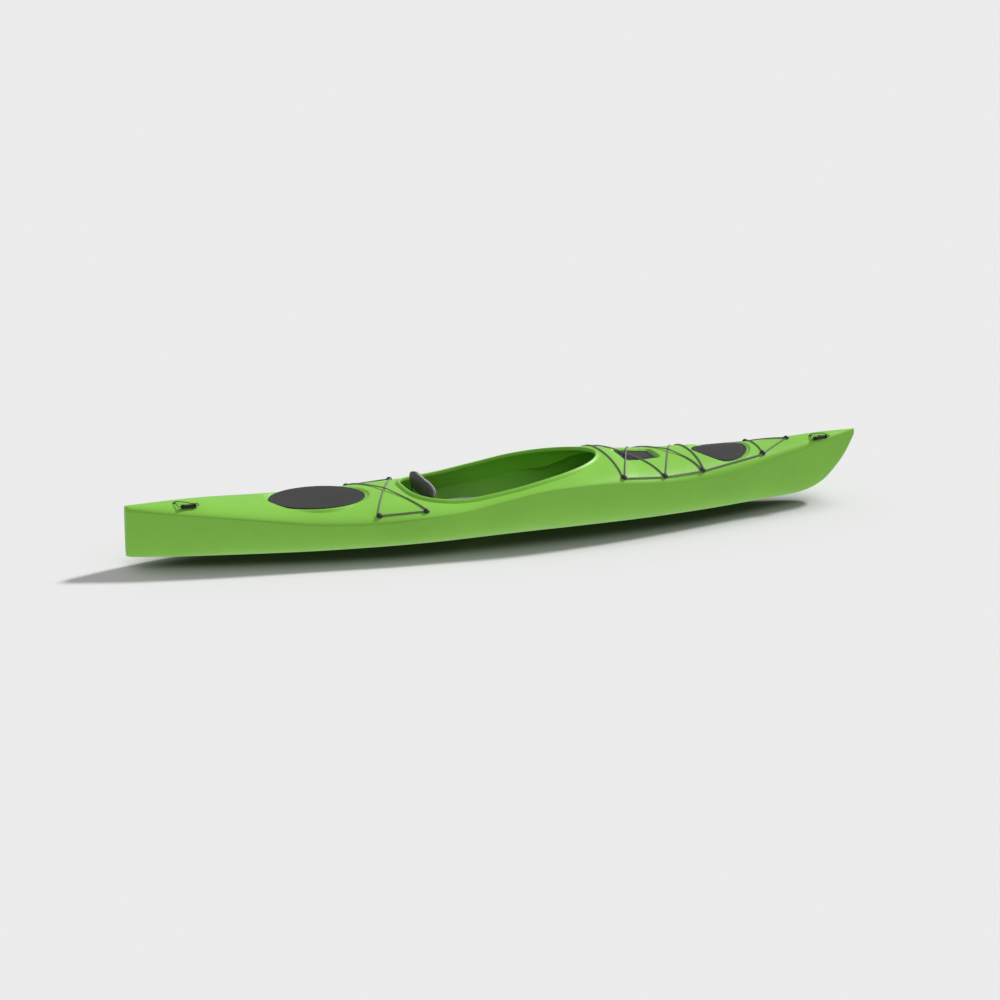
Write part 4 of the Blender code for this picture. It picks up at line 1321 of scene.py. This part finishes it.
def seat_pad():
    rings = []
    for s, floor, depth, shrink in through_stations([
            (1.503, .0285, .014, .010), (1.515, .0270, .022, .004), (1.56, .0262, .026, 0),
            (1.62, .0255, .027, 0), (1.76, .0330, .029, 0), (1.82, .0460, .028, .002),
            (1.838, .0500, .024, .008), (1.846, .0530, .014, .016)], .008):
        x = s - HALF
        half = [(.060, floor), (.165 - shrink, floor + .006), (.197 - shrink, .066),
                (.202 - shrink, .100 - shrink), (.192 - shrink, .104 - shrink),
                (.183 - shrink, .098 - shrink), (.163 - shrink, .066), (.120, floor + depth),
                (.060, floor + depth)]
        full = half + [(-y, z) for y, z in half[::-1]]
        rings.append(chaikin([Vector((x, y, z)) for y, z in full]))
    made = lofted("seat_cushion", rings, PAD_FABRIC, body=None)
    inflate(made, 2.5, .0045, .005)
    relax(made, 4)
    refine(made)
    for y in (-.118, 0, .118):
        sewn(made, lambda p, y=y: np.where(p[:, 2] > .02, np.abs(p[:, 1] - y), 1), .0022, .0030)
    relax(made, 1)
    soften(made, 180)
    enrol(made, "root", "seat_pad")


def panel(half_width, low, high, count=40):
    """The backrest's outline, seen from ahead."""
    middle, tall = (low + high) / 2, (high - low) / 2
    return [(float(half_width * signed(math.cos(a), .62)),
             float(middle + tall * signed(math.sin(a), .80)))
            for a in (math.pi * i / count for i in range(2 * count))]


def wrapped(x, y):
    """The panel bends forward towards its ends."""
    return x + .006 * (y / BACKREST_Y) ** 2 - .003


def backrest():
    x, z = PIVOT[0] - HALF, PIVOT[1]
    back = []
    for px, inset in ((-.0140, .030), (-.0146, .018), (-.0140, .0115), (-.0120, .0065),
                      (-.0090, .0045), (-.0062, .0040)):
        back.append([(wrapped(x + px, y), y, h)
                     for y, h in panel(BACKREST_Y - inset, .188 + inset, .285 - inset)])
    lofted("backrest_plate", back, SHELL_PLASTIC, body="backrest",
           stands_for="backrest_shell", slot="backrest_back", sharp=50)
    for side, sign in (("port", 1), ("starboard", -1)):
        y = sign * .139
        outline = []
        for k in range(17):
            a = math.pi + math.pi * k / 16
            outline.append((x + .010 * math.cos(a), z + .010 * math.sin(a)))
        outline += [(x + .0095, z + .018), (x - .0035, z + .055), (x - .0065, .215),
                    (x - .0120, .215), (x - .0105, z + .040)]
        rings = [[(px, y + dy, pz) for px, pz in outline] for dy in (-.0032, .0032)]
        arm = lofted(f"backrest_arm_{side}", rings, SHELL_PLASTIC, body="backrest",
                     slot="backrest_back")
        edges = arm.modifiers.new("rounded", "BEVEL")
        edges.width = .0009
        edges.segments = 2
        edges.limit_method = "ANGLE"
        apply_all(arm)
        cut(arm, turned("hole", [(.0045, .03), (.0045, -.03)], 32, (x, y, z), (0, sign, 0),
                        SHELL_PLASTIC, body=None))
        soften(arm, 30)
    soft = []
    for px, inset in ((-.0040, .010), (-.0020, .0045), (.004, .0020), (.010, .0020),
                      (.0125, .0060), (.0145, .016)):
        soft.append([(wrapped(x + px, y), y, h)
                     for y, h in panel(BACKREST_Y - inset, .188 + inset, .285 - inset)])
    pad = lofted("backrest_cushion", soft, PAD_FABRIC, body=None)
    inflate(pad, 2.5, .0050, .0045)
    relax(pad, 3)
    refine(pad)
    hold_off(pad, x)
    soften(pad, 180)
    enrol(pad, "backrest", "backrest_pad")


def hold_off(pad, x):
    """Keep the pad's back just clear of the plate, and sew a line inside its edge."""
    mesh = pad.data
    points = np.array([v.co for v in mesh.vertices])
    limit = wrapped(x - .0056, points[:, 1])
    points[:, 0] = np.maximum(points[:, 0], limit)
    mesh.vertices.foreach_set("co", points.astype(np.float32).ravel())
    mesh.update()

    def from_seam(p):
        across_share = np.abs(p[:, 1]) / (BACKREST_Y - .020)
        up_share = np.abs(p[:, 2] - .2365) / .030
        r = (across_share ** 3.2 + up_share ** 2.5) ** (1 / 2.8)
        return np.where(p[:, 0] > wrapped(x + .008, p[:, 1]), np.abs(r - 1) * .05, 1)

    sewn(pad, from_seam, .0018, .0028)


def box_rings(low, high, radius, axis):
    """Rings of a long box with rounded edges, along x."""
    rings = []
    for x, inset in ((low[0], radius), (low[0] + radius * .3, radius * .3),
                     (low[0] + radius, 0), (high[0] - radius, 0),
                     (high[0] - radius * .3, radius * .3), (high[0], radius)):
        half_y, half_z = (high[1] - low[1]) / 2 - inset, (high[2] - low[2]) / 2 - inset
        cy, cz = (high[1] + low[1]) / 2, (high[2] + low[2]) / 2
        ring = []
        for k in range(32):
            a = 2 * math.pi * (k + .5) / 32
            ring.append(axis(x, cy + half_y * float(signed(math.cos(a), .35)),
                             cz + half_z * float(signed(math.sin(a), .35))))
        rings.append(ring)
    return rings


def foot_braces():
    (s0, y0), (s1, y1) = RAIL["aft"], RAIL["fore"]
    angle = math.atan2(y1 - y0, s1 - s0)
    length = math.hypot(s1 - s0, y1 - y0)
    at = length * PEDAL_AT
    for side, sign in (("port", 1), ("starboard", -1)):
        def place(x, inboard, up):
            y = -sign * inboard
            c, n = math.cos(sign * angle), math.sin(sign * angle)
            return Vector((s0 - HALF + x * c - y * n, sign * y0 + x * n + y * c,
                           RAIL["height"] + up))

        rail = lofted(f"brace_rail_{side}", box_rings((0, 0, -.014), (length, .012, .014), .003,
                                                      place), RAIL_METAL,
                      stands_for=f"foot_rail_{side}", slot="aluminium")
        for k in range(9):
            spot = length * (k + 1) / 10
            cut(rail, lofted("notch", box_rings((spot - .006, .006, -.004),
                                                (spot + .006, .020, .004), .001, place),
                             RAIL_METAL, body=None))
        soften(rail, 35)
        body = f"pedal_{side}"
        block = lofted(f"brace_pedal_{side}", box_rings((at - .030, .0124, -.020),
                                                        (at + .030, .028, .020), .004, place),
                       BLACK_PLASTIC, body=body, stands_for=f"foot_pedal_{side}", slot="pedal")
        cut(block, lofted("plate", box_rings((at - .006, .026, -.040), (at + .002, .085, .065),
                                             .003, place), BLACK_PLASTIC, body=None), "UNION")
        for k in range(5):
            up = -.026 + k * .019
            cut(block, lofted("rib", box_rings((at - .0078, .031, up),
                                               (at - .004, .080, up + .004), .001, place),
                              BLACK_PLASTIC, body=None), "UNION")
        soften(block, 35)


# ---------------------------------------------------------------- assembly
cord_list = cord_paths()
draw_cords(cord_list)
hull()
deck()
coaming()
hatches()
bulkheads()
fittings(cord_list)
toggle("stern_toggle", "stern_handle", **STERN_TOGGLE)
toggle("bow_toggle", "bow_handle", **BOW_TOGGLE)
seat()
seat_pad()
backrest()
foot_braces()
